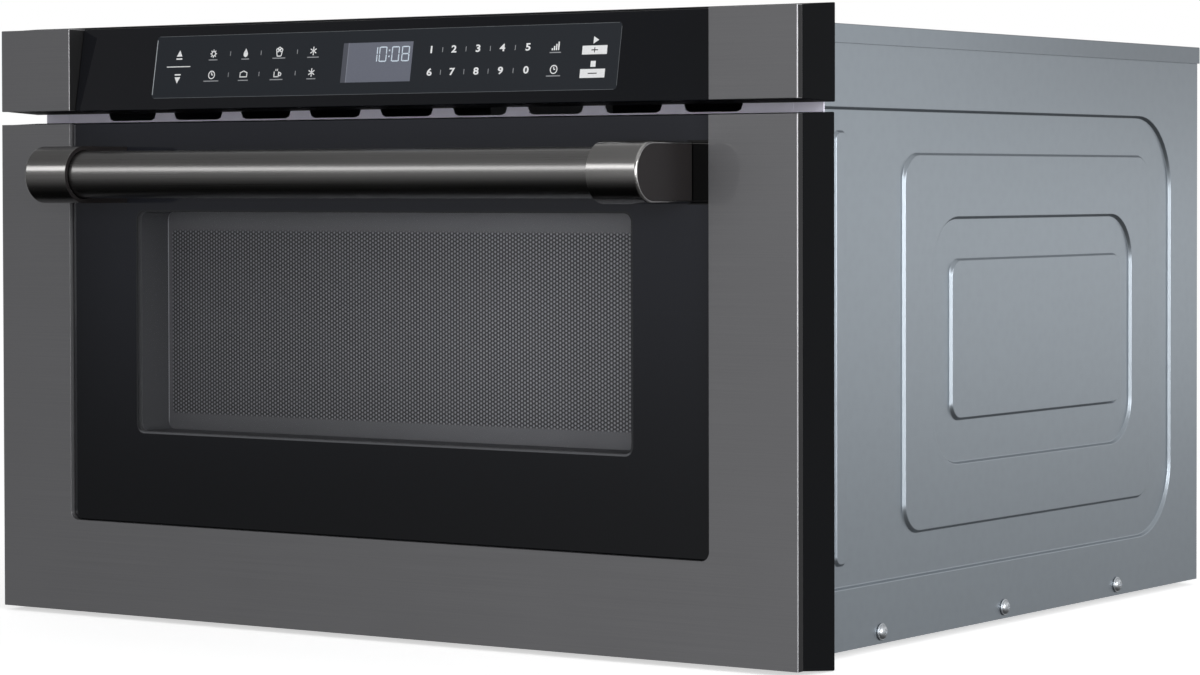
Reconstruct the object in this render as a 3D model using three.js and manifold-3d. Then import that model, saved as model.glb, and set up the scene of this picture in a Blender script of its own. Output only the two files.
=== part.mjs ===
// Built-in microwave drawer: a steel case with a fixed oven cavity, and a door that slides out
// with an open-topped box behind it. Millimetres: X to the right, Y to the back, Z up. The
// origin is the centre of the case's flat base.

import * as THREE from "three";
import { mergeVertices } from "three/addons/utils/BufferGeometryUtils.js";
import Module from "manifold-3d";

// ---------------------------------------------------------------------------
// Driving sizes
// ---------------------------------------------------------------------------

const seat = 0.3; // gap between pieces that rest on one another
const sheet = 1; // steel sheet of the case
const skin = 1.2; // stainless skin of the door and the fascia

// Case
const bodyWidth = 554; // across the side panels
const caseHeight = 363.2;
const caseDepth = 525;
const lipHeight = 11; // top cover's lip over the side panels
const wingWidth = 18.4; // side panels' front flange, which bears on the cabinet
const wingLow = 2;
const hemWidth = 2.4; // flange's folded edge
const wingHole = 2.6; // radius of the holes for the cabinet screws
const wingHoleInset = 42; // top and bottom holes, from the case's ends
const panHeight = 24; // upturned edge of the base pan

// Pressed steps of the side panels. Each is set in from the one outside it.
const pressDepth = 3;
const pressSlope = 3.5;
const sidePresses = [
  { front: -60, rear: 40.6, low: 35.8, high: 48.2, corner: 48 },
  { front: 184.3, rear: 31.1, low: 26.2, high: 26, corner: 17 },
  { front: 35, rear: 27.7, low: 38, high: 38.5, corner: 30 },
  { front: 22.3, rear: 15.3, low: 26.7, high: 25.5, corner: 10 },
];
const ribFront = 47; // narrow upright rib, from the case front
const ribWidth = 10.5;
const ribLow = 49.5;
const ribHigh = 61.8; // below the case top
const ribRise = 2.4;

// Pressed steps of the top cover
const topPresses = [
  { side: 46, front: 52, rear: 70, corner: 40 },
  { side: 38, front: 36, rear: 36, corner: 22 },
];

// Front stack: the door and the fascia stand in front of the case
const doorGap = 0.7; // running gap between the door's back edge and the case
const doorDepth = 36;
const frontLap = 23.8; // steel face past the side panels, on each side
const rimFlare = 2.4; // black rim past the steel, at the sides and the top
const lowFlare = 2.8; // black rim past the steel, at the bottom
const slitFlare = 1.4; // black rim into the slit between fascia and door
const steelFold = 5.3; // depth of the steel skin's folded edge
const stripWidth = 58.8; // steel strips left and right of the glass
const doorDrop = 0.7; // the steel reaches below the case base
const frontRise = 7.1; // the steel reaches above the case top
const bottomStrip = 58.3;
const glassCorner = 5.5;
const slitHeight = 8.4;
const fasciaHeight = 52.1;

// Glass
const doorGlassRecess = 3;
const doorGlassThickness = 4;
const fasciaGlassThickness = 3.2;
const fasciaGlassLow = 5; // recess at the lower edge
const fasciaGlassHigh = 14; // recess at the upper edge, so the glass leans back
const glassClear = 0.5; // beside the glass

// Moulded door and fascia bodies
const mouldWall = 2.8;
const mouldFront = 2.5;

// Door window
const windowSide = 54.6; // from the glass opening's edge
const windowLow = 114.2;
const windowDrop = 55.7; // below the door's top
const windowCorner = 5;
const linerWall = 2;
const screenThickness = 0.9;
const screenLap = 5; // box front wall over the screen's edge
const panelRecess = 2.8; // door's inner panel ahead of the door's back edge
const panelFold = 14;
const chokeWidth = 15;
const chokeThickness = 2.4;

// Handle
const handleInset = 12.4; // bracket ends from the glass opening's edge
const handleDrop = 32.4; // bar axis below the door's top
const handleReach = 37; // bar axis ahead of the steel face
const barRadius = 14.6;
const bracketRadius = 17.75;
const bracketWidth = 34;
const bracketChamfer = 1.2;
const socketDepth = 8;
const socketClear = 0.6;

// Vent slots in the front plate, behind the slit
const ventCount = 9;
const ventWidth = 40.2;
const ventPitch = 55.4;
const ventHeight = 12;
const ventRise = 2.4; // above the door's top
const ventCorner = 4;

// Oven cavity
const sideBay = 55; // from the cavity's side to the case's outer side
const cavityFloor = 98;
const cavityDrop = 25.8; // cavity roof below the door's top
const cavityDepth = 433;
const cavityRim = 12;
const mouthLip = 1.5; // front plate's edge inside the cavity walls

// Drawer box
const boxSheet = 1.2;
const boxSideClear = 8;
const boxFloorClear = 3;
const boxDrop = 22; // box rim below the cavity roof
const boxRearClear = 17;
const boxRimWidth = 3;
const boxRimHeight = 4;
const floorPlateThickness = 6;
const floorPlateClear = 2;
const travel = 380;

// Telescopic slides, from the panel inwards
const slideLength = 400;
const slideCentre = 61; // above the base
const slideSheet = 1.2;
const outerSlide = { offset: 0, depth: 8, half: 22.85 };
const middleSlide = { offset: 2.4, depth: 7.8, half: 17.6 };
const innerSlide = { offset: 5, depth: 7.7, half: 12 };
const slideRun = 0.5; // clearance between members
const railHeight = 34;
const railSheet = 1.5;
const railFlange = 22;
const tabThickness = 2;
const crossBarDepth = 14;
const crossBarHeight = 8;

// Rack and pinion
const gearModule = 2.5;
const pressureAngle = 20 * (Math.PI / 180);
const pinionTeeth = 12;
const pinionWidth = 14;
const pinionShaft = 4;
const backlash = 0.24;
const rackTip = 1.7;
const rackRoot = 2.4;
const pinionTip = 2;
const pinionRoot = 2.2;
const rackWidth = 12;
const rackBack = 7;
const driveX = 26;
const pinionSetback = 37.5; // behind the case front
const gearboxWidth = 30;
const gearboxDepth = 56;
const motorRadius = 18;
const motorLength = 44;

// Latches
const hookHeight = 20;
const hookThickness = 4;
const hookReach = 32;
const hookSide = 28; // from the cavity's side
const hookZ = 210;
const latchClear = 4;
const latchBlockWidth = 28;
const latchBlockDepth = 46;
const latchBlockHeight = 44;

// Microwave source and stirrer
const guideWidth = 96;
const guideHeight = 45;
const guideFront = -110;
const guideWall = 1.2;
const rearBayClear = 4; // between the rear bay's pieces and the rear panel
const stirrerY = -60;
const stirrerHole = 45;
const stirrerReach = 62;
const stirrerShaft = 3;
const shaftClear = 0.5;
const stirrerDrop = 6; // blade below the cavity roof
const stirrerCoverDrop = 12;
const stirrerCoverDepth = 240;
const stirrerMotorRadius = 25;
const stirrerMotorHeight = 20;
const magnetronWidth = 92;
const magnetronDepth = 76;
const magnetronHeight = 92;
const antennaRadius = 8;
const antennaHeight = 24;
const finCount = 5;

// Rear bay
const transformerWidth = 90;
const transformerDepth = 60;
const transformerHeight = 80;
const transformerX = 205;
const windingProud = 9;
const capacitorWidth = 52;
const capacitorDepth = 34;
const capacitorHeight = 88;
const capacitorX = 112;
const fanX = -150;
const fanZ = 176;
const fanBore = 56;
const fanFrame = 126;
const fanFrameDepth = 29;
const fanRadius = 52;
const fanHub = 14;
const fanBlades = 5;
const fanMotorSize = 46;
const fanMotorDepth = 38;
const filterX = 170;
const filterDrop = 59.2; // below the case top
const filterWidth = 90;
const filterDepth = 62;
const filterLip = 16;
const filterParts = [
  { side: 2, width: 18, front: 12, depth: 30, rise: 19 },
  { side: 26, width: 14, front: 16, depth: 20, rise: 11 },
];
const chokeCoil = { side: -22, front: 28, radius: 13, rise: 13 };
const circuitThickness = 1.6;
const glandX = 236;
const glandDrop = 37.2; // below the case top
const glandRadius = 9;
const lampY = 35;
const lampZ = 216;

// Display and control board, behind the fascia glass
const displayX = -2.9;
const displayWidth = 53;
const displayHeight = 25;
const displayRise = 26.8; // middle above the fascia's lower edge
const boardWidth = 366;
const boardRecess = 27;
const boardMargin = 2;
const boardParts = [
  { side: -109, width: 22, low: 8, height: 14, rise: 5 },
  { side: 74, width: 28, low: 10, height: 14, rise: 6 },
  { side: 120, width: 10, low: 12, height: 10, rise: 6 },
];

// Side screws, from the case front
const screwPlaces = [96, 248, 403];
const screwZ = 7;
const screwHead = 4.6;
const screwHeadRise = 2.6;
const screwShank = 2;
const screwLength = 8;

// ---------------------------------------------------------------------------
// Places worked out from the sizes
// ---------------------------------------------------------------------------

const panelX = bodyWidth / 2; // side panel's outer face
const innerX = panelX - sheet; // side panel's inner face
const caseFront = -caseDepth / 2;
const caseRear = caseDepth / 2;
const plateBack = caseFront + sheet; // front plate's back face
const faceY = caseFront - doorGap - doorDepth; // steel face
const doorBack = faceY + doorDepth;
const fasciaBack = caseFront - seat;
const fasciaTop = caseHeight + frontRise;
const fasciaLow = fasciaTop - fasciaHeight;
const doorLow = -doorDrop;
const doorTop = fasciaLow - slitHeight;
const frontX = panelX + frontLap;
const glassX = frontX - stripWidth; // edge of the opening between the steel strips
const cavityX = panelX - sideBay;
const hookX = cavityX + hookSide;
const cavityTop = doorTop - cavityDrop;
const cavityFront = plateBack + seat;
const cavityRear = cavityFront + cavityDepth;
const bayY = (cavityRear + caseRear) / 2; // middle of the rear bay
const boxX = cavityX - boxSideClear;
const boxLow = cavityFloor + boxFloorClear;
const boxTop = cavityTop - boxDrop;
const panelBack = doorBack - panelRecess;
const boxFront = panelBack + seat;
const boxRear = cavityRear - boxRearClear;
const windowX = glassX - windowSide;
const windowTop = doorTop - windowDrop;
const handleHeight = doorTop - handleDrop;
const slideX = innerX - pressDepth - seat; // slides' fixed face, on the pressed side panel
const slideFront = plateBack + seat;
const rackPitchZ = slideCentre + 7;
const rackTopZ = rackPitchZ + rackRoot + rackBack;
const railTop = slideCentre + railHeight / 2;
const pinionRadius = (gearModule * pinionTeeth) / 2;
const pinionY = caseFront + pinionSetback;
const pinionZ = rackPitchZ - pinionRadius;
const guideLow = cavityTop + sheet + seat;
const guideTop = guideLow + guideHeight;
const guideRear = caseRear - sheet - rearBayClear;
const boardY = faceY + boardRecess;
const fasciaMidZ = (fasciaLow + fasciaTop) / 2;
const displayZ = fasciaLow + displayRise;
const filterZ = caseHeight - filterDrop;
const glandZ = caseHeight - glandDrop;

// ---------------------------------------------------------------------------
// Finishes
// ---------------------------------------------------------------------------

function finish(color, roughness, metalness) {
  return new THREE.MeshStandardMaterial({ color, roughness, metalness });
}

const galvanised = finish(0x8d949a, 0.42, 0.9);
const darkSteel = finish(0x5b5b5f, 0.32, 1);
const cavitySteel = finish(0xb9bcbd, 0.3, 0.9);
const blackPlastic = finish(0x16171a, 0.5, 0);
const darkGlass = finish(0x101114, 0.08, 0);
const ceramic = finish(0xd8d6cf, 0.25, 0);
const screenSteel = finish(0x4a4c50, 0.5, 0.7);
const zinc = finish(0xc9ccd0, 0.25, 1);
const greyPlastic = finish(0x4b4d52, 0.55, 0);
const whitePlastic = finish(0xd9dad6, 0.5, 0);
const mica = finish(0xcfc4a8, 0.6, 0);
const copper = finish(0x9a5a34, 0.4, 0.8);
const circuitGreen = finish(0x1f5a3a, 0.5, 0);
const displayBlue = finish(0x6d7588, 0.3, 0);
const gearNylon = finish(0xe2dfd4, 0.5, 0);

// ---------------------------------------------------------------------------
// Shape helpers
// ---------------------------------------------------------------------------

const wasm = await Module();
wasm.setup();

const roundSteps = 4; // steps in a quarter turn of a rounded corner
const wheelSteps = 20; // sides of a turned piece

const grid = 1e4; // points are kept to a ten-thousandth, so that faces that should meet do

// A three.js geometry as a solid that can be joined and cut.
function solid(geometry) {
  const bare = geometry.clone();
  bare.deleteAttribute("normal");
  bare.deleteAttribute("uv");
  const place = bare.attributes.position.array;
  for (let i = 0; i < place.length; i += 1) {
    place[i] = Math.round(place[i] * grid) / grid;
  }
  const merged = mergeVertices(bare, 1 / grid);
  return new wasm.Manifold(
    new wasm.Mesh({
      numProp: 3,
      vertProperties: merged.attributes.position.array,
      triVerts: new Uint32Array(merged.index.array),
    }),
  );
}

function join(...geometries) {
  return geometries.map(solid).reduce((sum, next) => sum.add(next));
}

function cut(body, ...geometries) {
  return geometries.map(solid).reduce((rest, next) => rest.subtract(next), body);
}

const tidyWithin = 0.004; // points this close to an edge or a face are dropped into it

// A joined or cut solid as a three.js geometry again.
function surface(body) {
  const mesh = body.asOriginal().simplify(tidyWithin).getMesh();
  const geometry = new THREE.BufferGeometry();
  geometry.setAttribute(
    "position",
    new THREE.BufferAttribute(new Float32Array(mesh.vertProperties), 3),
  );
  geometry.setIndex(new THREE.BufferAttribute(new Uint32Array(mesh.triVerts), 1));
  return geometry;
}

// The same geometry on the other side of the middle plane.
function mirrored(geometry) {
  const copy = mergeVertices(geometry.clone(), 1e-5);
  copy.scale(-1, 1, 1);
  const index = copy.index.array;
  for (let i = 0; i < index.length; i += 3) {
    const first = index[i];
    index[i] = index[i + 1];
    index[i + 1] = first;
  }
  return copy;
}

const root = new THREE.Group();

function add(name, shape, material) {
  const geometry = shape.isBufferGeometry ? shape : surface(shape);
  const mesh = new THREE.Mesh(geometry, material);
  mesh.name = name;
  root.add(mesh);
  return mesh;
}

// A left and a right piece, from the right one's shape.
function addPair(name, shape, material) {
  const right = shape.isBufferGeometry ? shape : surface(shape);
  add(`${name}_right`, right, material);
  add(`${name}_left`, mirrored(right), material);
}

// A box between two limits on each axis.
function block([x0, x1], [y0, y1], [z0, z1]) {
  return taperedBlock(y0, [x0, x1, z0, z1], y1, [x0, x1, z0, z1]);
}

// A box whose front and back faces differ: each is [x0, x1, z0, z1].
function taperedBlock(y0, front, y1, back) {
  const geometry = new THREE.BoxGeometry(1, 1, 1);
  const place = geometry.attributes.position;
  for (let i = 0; i < place.count; i += 1) {
    const face = place.getY(i) < 0 ? front : back;
    const x = place.getX(i) < 0 ? face[0] : face[1];
    const z = place.getZ(i) < 0 ? face[2] : face[3];
    place.setXYZ(i, x, place.getY(i) < 0 ? y0 : y1, z);
  }
  return geometry;
}

function polygon(points) {
  return new THREE.Shape(points.map(([u, v]) => new THREE.Vector2(u, v)));
}

// The points of a rectangle with round corners, anticlockwise.
function roundedPoints(u0, u1, v0, v1, radius, steps = roundSteps) {
  const r = Math.max(Math.min(radius, (u1 - u0) / 2 - 0.01, (v1 - v0) / 2 - 0.01), 0.01);
  const corners = [
    [u1 - r, v0 + r, -Math.PI / 2],
    [u1 - r, v1 - r, 0],
    [u0 + r, v1 - r, Math.PI / 2],
    [u0 + r, v0 + r, Math.PI],
  ];
  const points = [];
  for (const [cu, cv, start] of corners) {
    for (let i = 0; i <= steps; i += 1) {
      const angle = start + (i / steps) * (Math.PI / 2);
      points.push([cu + r * Math.cos(angle), cv + r * Math.sin(angle)]);
    }
  }
  return points;
}

// An outline drawn in Y and Z, drawn out along X.
const alongX = new THREE.Matrix4().set(0, 0, 1, 0, 1, 0, 0, 0, 0, 1, 0, 0, 0, 0, 0, 1);

function prismX(shape, x0, x1) {
  const geometry = new THREE.ExtrudeGeometry(shape, { depth: x1 - x0, bevelEnabled: false });
  return geometry.applyMatrix4(alongX).translate(x0, 0, 0);
}

// An outline drawn in X and Z, drawn out along Y.
function prismY(shape, y0, y1) {
  const geometry = new THREE.ExtrudeGeometry(shape, { depth: y1 - y0, bevelEnabled: false });
  return geometry.rotateX(Math.PI / 2).translate(0, y1, 0);
}

// An outline drawn in X and Y, drawn out along Z.
function prismZ(shape, z0, z1) {
  const geometry = new THREE.ExtrudeGeometry(shape, { depth: z1 - z0, bevelEnabled: false });
  return geometry.translate(0, 0, z0);
}

// A solid between two outlines with as many points each, drawn in U and V at w0 and w1.
function loft(lower, w0, upper, w1) {
  const count = lower.length;
  const vertices = [];
  for (const [u, v] of lower) vertices.push(u, v, w0);
  for (const [u, v] of upper) vertices.push(u, v, w1);
  const index = [];
  for (let i = 0; i < count; i += 1) {
    const next = (i + 1) % count;
    index.push(i, next, next + count);
    index.push(i, next + count, i + count);
  }
  const flat = (points) => points.map(([u, v]) => new THREE.Vector2(u, v));
  for (const [a, b, c] of THREE.ShapeUtils.triangulateShape(flat(lower), [])) {
    index.push(a, c, b);
  }
  for (const [a, b, c] of THREE.ShapeUtils.triangulateShape(flat(upper), [])) {
    index.push(a + count, b + count, c + count);
  }
  const geometry = new THREE.BufferGeometry();
  geometry.setAttribute("position", new THREE.Float32BufferAttribute(vertices, 3));
  geometry.setIndex(index);
  return geometry;
}

function rodX(radius, x0, x1, y, z, sides = wheelSteps) {
  const geometry = new THREE.CylinderGeometry(radius, radius, x1 - x0, sides);
  return geometry.rotateZ(Math.PI / 2).translate((x0 + x1) / 2, y, z);
}

function rodY(radius, y0, y1, x, z, sides = wheelSteps) {
  const geometry = new THREE.CylinderGeometry(radius, radius, y1 - y0, sides);
  return geometry.translate(x, (y0 + y1) / 2, z);
}

function rodZ(radius, z0, z1, x, y, sides = wheelSteps) {
  const geometry = new THREE.CylinderGeometry(radius, radius, z1 - z0, sides);
  return geometry.rotateX(Math.PI / 2).translate(x, y, (z0 + z1) / 2);
}

// ---------------------------------------------------------------------------
// Case
// ---------------------------------------------------------------------------

// The limits of nested pressings, each set in from the one outside it.
function nestedPresses(limits, presses) {
  const found = [];
  let [u0, u1, v0, v1] = limits;
  for (const press of presses) {
    u0 += press.front ?? press.side;
    u1 -= press.rear ?? press.side;
    v0 += press.low ?? press.front;
    v1 -= press.high ?? press.rear;
    found.push({ limits: [u0, u1, v0, v1], corner: press.corner });
  }
  return found;
}

// One pressing as a tapered pad between two levels; wide at w0, narrower at w1 by the slope.
function pressPad({ limits: [u0, u1, v0, v1], corner }, w0, w1, slope) {
  const wide = roundedPoints(u0, u1, v0, v1, corner);
  const inner = Math.max(corner - slope, 1);
  const narrow = roundedPoints(u0 + slope, u1 - slope, v0 + slope, v1 - slope, inner);
  return loft(wide, w0, narrow, w1);
}

// Everything under a pressed surface at `level`: steps go down and up in turn.
function underPressed(slab, presses, level, place) {
  let body = solid(slab);
  const floor = level - pressDepth;
  const over = 0.5;
  presses.forEach((press, i) => {
    if (i % 2 === 0) {
      // A recess: cut a pad that narrows downwards.
      const [u0, u1, v0, v1] = press.limits;
      const lift = (over * pressSlope) / pressDepth;
      const wide = {
        limits: [u0 - lift, u1 + lift, v0 - lift, v1 + lift],
        corner: press.corner + lift,
      };
      const pad = pressPad(wide, -level - over, -floor, pressSlope + lift);
      body = body.subtract(solid(place(pad, true)));
    } else {
      body = body.add(solid(place(pressPad(press, floor - over, level, pressSlope), false)));
    }
  });
  return body;
}

// Side pads are drawn in Y and Z and stand along X. One that points inwards is drawn from
// behind, so its Y is turned round.
function placeSide(pad, inwards) {
  if (!inwards) {
    return pad.applyMatrix4(alongX);
  }
  const turned = new THREE.Matrix4().set(0, 0, -1, 0, 1, 0, 0, 0, 0, 1, 0, 0, 0, 0, 0, 1);
  return flipped(pad.applyMatrix4(turned));
}

function placeTop(pad, inwards) {
  if (!inwards) {
    return pad;
  }
  return flipped(pad.scale(1, 1, -1));
}

// The faces of a mirrored geometry turned the right way again.
function flipped(geometry) {
  const index = geometry.index.array;
  for (let i = 0; i < index.length; i += 3) {
    const first = index[i];
    index[i] = index[i + 1];
    index[i + 1] = first;
  }
  return geometry;
}

function sidePanel() {
  const top = caseHeight - sheet - seat;
  const presses = nestedPresses([caseFront, caseRear, 0, caseHeight], sidePresses);
  const depth = 12;
  const margin = 1;
  const rib = {
    limits: [
      caseFront + ribFront,
      caseFront + ribFront + ribWidth,
      ribLow,
      caseHeight - ribHigh,
    ],
    corner: ribWidth / 2,
  };
  const ribSlope = 2;
  const skinUnder = (level, extra) => {
    const slab = block(
      [level - depth, level],
      [caseFront - extra, caseRear + extra],
      [-extra, top + extra],
    );
    const low = level - pressDepth;
    const ribPad = pressPad(rib, low - margin, low + ribRise, ribSlope);
    return underPressed(slab, presses, level, placeSide).add(solid(placeSide(ribPad, false)));
  };
  const outside = skinUnder(panelX, 0);
  const inside = skinUnder(panelX - sheet, margin).add(
    solid(
      block(
        [panelX - 2 * depth, panelX - sheet - pressDepth - margin],
        [caseFront - margin, caseRear + margin],
        [-margin, top + margin],
      ),
    ),
  );
  const wingX = panelX + wingWidth;
  const behindPlate = plateBack + seat;
  const wing = join(
    block([innerX, wingX], [caseFront, plateBack], [wingLow, top]),
    block([wingX - hemWidth, wingX], [caseFront, plateBack + sheet], [wingLow, top]),
    // The bend round the front plate's edge, back to the pressed sheet
    block([innerX, panelX], [caseFront, behindPlate + sheet], [wingLow, top]),
    block(
      [innerX - pressDepth, panelX],
      [behindPlate, behindPlate + sheet],
      [panHeight + 1, top - 1],
    ),
  );
  const shell = outside.subtract(inside).add(wing);
  const holes = screwPlaces.map((place) =>
    rodX(screwShank + seat, innerX - 1, panelX + 1, caseFront + place, screwZ, 8),
  );
  const wingHoleHeights = [wingHoleInset, caseHeight / 2, caseHeight - wingHoleInset];
  const wingHoles = wingHoleHeights.map((z) =>
    rodY(wingHole, caseFront - 1, plateBack + 1, panelX + wingWidth / 2, z, 10),
  );
  // The front plate stands between the wings.
  const plateRoom = block([0, innerX], [caseFront - 1, plateBack + seat], [-1, caseHeight]);
  return cut(shell, ...holes, ...wingHoles, plateRoom);
}

addPair("side_panel", sidePanel(), galvanised);

function topCover() {
  const lipX = panelX + seat + sheet;
  const front = plateBack + seat;
  const rear = caseRear + seat + sheet;
  const low = caseHeight - lipHeight;
  const presses = nestedPresses([-panelX, panelX, front, caseRear], topPresses);
  const depth = 10;
  const margin = 1;
  const coverUnder = (level, extra) => {
    const slab = block(
      [-lipX - extra, lipX + extra],
      [front - extra, rear + extra],
      [level - depth, level],
    );
    return underPressed(slab, presses, level, placeTop);
  };
  const roof = coverUnder(caseHeight, 0).subtract(coverUnder(caseHeight - sheet, margin));
  const roofZone = block([-lipX, lipX], [front, rear], [low, caseHeight]);
  const lips = cut(
    solid(roofZone),
    block(
      [-panelX - seat, panelX + seat],
      [front - margin, caseRear + seat],
      [low - margin, caseHeight + margin],
    ),
  );
  return lips.add(roof.intersect(solid(roofZone)));
}

add("top_cover", topCover(), galvanised);

function basePan() {
  const x = innerX - seat;
  const front = plateBack + seat;
  const rear = caseRear - sheet - seat;
  const tray = solid(block([-x, x], [front, rear], [0, panHeight]));
  const well = block(
    [-x + sheet, x - sheet],
    [front + sheet, rear - sheet],
    [sheet, panHeight + 1],
  );
  const holes = screwPlaces.flatMap((place) =>
    [-1, 1].map((side) =>
      rodX(screwShank + seat, side * x - 4, side * x + 4, caseFront + place, screwZ, 8),
    ),
  );
  return cut(tray, well, ...holes);
}

add("base_pan", basePan(), galvanised);

// A row of upright slots whose ends follow a circle.
function roundGrille(cx, cz, radius, slotWidth, pitch, y0, y1) {
  const slots = [];
  const count = Math.floor(radius / pitch);
  for (let i = -count; i <= count; i += 1) {
    const x = cx + i * pitch;
    const half = Math.sqrt(radius * radius - i * i * pitch * pitch) - slotWidth / 2;
    if (half > slotWidth) {
      const points = roundedPoints(
        x - slotWidth / 2,
        x + slotWidth / 2,
        cz - half,
        cz + half,
        slotWidth / 2,
        2,
      );
      slots.push(prismY(polygon(points), y0, y1));
    }
  }
  return slots;
}

function rearPanel() {
  const x = innerX - seat;
  const top = caseHeight - sheet - seat;
  const plate = solid(block([-x, x], [caseRear - sheet, caseRear], [0, top]));
  const y0 = caseRear - sheet - 1;
  const y1 = caseRear + 1;
  const grille = roundGrille(fanX, fanZ, fanBore - 4, 6, 12, y0, y1);
  const outlet = [];
  const outletCount = 8;
  const outletPitch = 14;
  for (let i = 0; i < outletCount; i += 1) {
    const middle = transformerX + (i - (outletCount - 1) / 2) * outletPitch;
    const points = roundedPoints(middle - 3, middle + 3, 50, 100, 3, 2);
    outlet.push(prismY(polygon(points), y0, y1));
  }
  const glandHole = rodY(glandRadius + seat, y0, y1, glandX, glandZ);
  return cut(plate, ...grille, ...outlet, glandHole);
}

add("rear_panel", rearPanel(), galvanised);

// The part of the slide section that has to pass through the front plate.
const passLow = slideCentre - outerSlide.half - 2;
const passHigh = slideCentre + outerSlide.half + 2;
const passInner = slideX - innerSlide.offset - innerSlide.depth - railFlange - 4;
const rackFootHalf = 10;

function frontPlate() {
  const x = innerX - seat;
  const plate = solid(block([-x, x], [caseFront, plateBack], [0, caseHeight - sheet - seat]));
  const y0 = caseFront - 1;
  const y1 = plateBack + 1;
  const mouthX = cavityX - mouthLip;
  const mouth = block(
    [-mouthX, mouthX],
    [y0, y1],
    [cavityFloor + mouthLip, cavityTop - mouthLip],
  );
  const vents = [];
  const ventLow = doorTop + ventRise;
  for (let i = 0; i < ventCount; i += 1) {
    const middle = (i - (ventCount - 1) / 2) * ventPitch;
    const points = roundedPoints(
      middle - ventWidth / 2,
      middle + ventWidth / 2,
      ventLow,
      ventLow + ventHeight,
      ventCorner,
      2,
    );
    vents.push(prismY(polygon(points), y0, y1));
  }
  const passes = [-1, 1].map((side) => {
    const span = [side * passInner, side * (slideX - 1)].sort((a, b) => a - b);
    return block(span, [y0, y1], [passLow, passHigh]);
  });
  const rackPass = block(
    [driveX - rackFootHalf - 2, driveX + rackFootHalf + 2],
    [y0, y1],
    [rackPitchZ - rackFootHalf - 2, rackTopZ + 4],
  );
  const hookPasses = [-1, 1].map((side) =>
    block(
      [side * hookX - hookThickness / 2 - latchClear, side * hookX + hookThickness / 2 + latchClear],
      [y0, y1],
      [hookZ - hookHeight / 2 - latchClear, hookZ + hookHeight / 2 + latchClear],
    ),
  );
  return cut(plate, mouth, ...vents, ...passes, rackPass, ...hookPasses);
}

add("front_plate", frontPlate(), galvanised);

// Dome-headed screw with its washer, pointing inwards from the right-hand panel.
function sideScrew(y) {
  const profile = [
    [0, 0],
    [screwShank, 0],
    [screwShank, screwLength],
    [screwHead + 1.6, screwLength],
    [screwHead + 1.6, screwLength + 0.7],
    [screwHead, screwLength + 0.7],
    [screwHead * 0.8, screwLength + 0.7 + screwHeadRise * 0.65],
    [screwHead * 0.4, screwLength + 0.7 + screwHeadRise * 0.95],
    [0, screwLength + 0.7 + screwHeadRise],
  ];
  const turned = new THREE.LatheGeometry(
    profile.map(([r, h]) => new THREE.Vector2(r, h)),
    10,
  );
  return turned
    .rotateZ(-Math.PI / 2)
    .translate(panelX + seat - screwLength, y, screwZ);
}

const screwNames = ["front", "middle", "rear"];
screwPlaces.forEach((place, i) => {
  addPair(`side_screw_${screwNames[i]}`, sideScrew(caseFront + place), zinc);
});

// ---------------------------------------------------------------------------
// Oven cavity and what feeds it
// ---------------------------------------------------------------------------

function ovenCavity() {
  const x = cavityX + sheet;
  const shell = solid(
    block([-x, x], [cavityFront, cavityRear + sheet], [cavityFloor - sheet, cavityTop + sheet]),
  );
  const inside = block(
    [-cavityX, cavityX],
    [cavityFront - 1, cavityRear],
    [cavityFloor, cavityTop],
  );
  const rimX = cavityX + cavityRim;
  const rim = block(
    [-rimX, rimX],
    [cavityFront, cavityFront + sheet],
    [cavityFloor - cavityRim + seat, cavityTop + cavityRim],
  );
  const stirrerOpening = rodZ(stirrerHole, cavityTop - 1, cavityTop + 2, 0, stirrerY);
  const lampHole = block([-x - 1, -cavityX + 1], [lampY - 9, lampY + 9], [lampZ - 9, lampZ + 9]);
  return cut(shell.add(solid(rim)), inside, stirrerOpening, lampHole);
}

add("oven_cavity", ovenCavity(), cavitySteel);

function waveguide() {
  const x = guideWidth / 2;
  const duct = solid(block([-x, x], [guideFront, guideRear], [guideLow, guideTop]));
  const inside = block(
    [-x + guideWall, x - guideWall],
    [guideFront + guideWall, guideRear - guideWall],
    [guideLow + guideWall, guideTop - guideWall],
  );
  const outlet = rodZ(stirrerHole - 4, guideLow - 1, guideLow + 2, 0, stirrerY);
  const inlet = rodZ(antennaRadius + 2, guideLow - 1, guideLow + 2, 0, bayY);
  const shaftHole = rodZ(stirrerShaft + shaftClear, guideTop - 2, guideTop + 1, 0, stirrerY, 12);
  return cut(duct, inside, outlet, inlet, shaftHole);
}

add("waveguide", waveguide(), galvanised);

function stirrerCover() {
  const x = cavityX - seat;
  const z = cavityTop - stirrerCoverDrop;
  const y0 = stirrerY - stirrerCoverDepth / 2;
  const y1 = stirrerY + stirrerCoverDepth / 2;
  return join(
    block([-x, x], [y0, y1], [z - skin, z]),
    block([-x, -x + 3], [y0, y1], [z - skin, z + 4]),
    block([x - 3, x], [y0, y1], [z - skin, z + 4]),
  );
}

add("stirrer_cover", stirrerCover(), mica);

const stirrerMotorLow = guideTop + seat;
const stirrerShaftTop = stirrerMotorLow + 9;

function stirrerMotor() {
  const top = stirrerMotorLow + stirrerMotorHeight;
  const can = join(
    rodZ(stirrerMotorRadius, stirrerMotorLow, top, 0, stirrerY),
    block(
      [-stirrerMotorRadius - 8, stirrerMotorRadius + 8],
      [stirrerY - 7, stirrerY + 7],
      [stirrerMotorLow, stirrerMotorLow + 1.5],
    ),
    block([-9, 9], [stirrerY + stirrerMotorRadius - 4, stirrerY + stirrerMotorRadius + 8], [
      stirrerMotorLow + 4,
      top - 4,
    ]),
  );
  const bore = rodZ(
    stirrerShaft + shaftClear,
    stirrerMotorLow - 1,
    stirrerShaftTop + seat,
    0,
    stirrerY,
    12,
  );
  return cut(can, bore);
}

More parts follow.
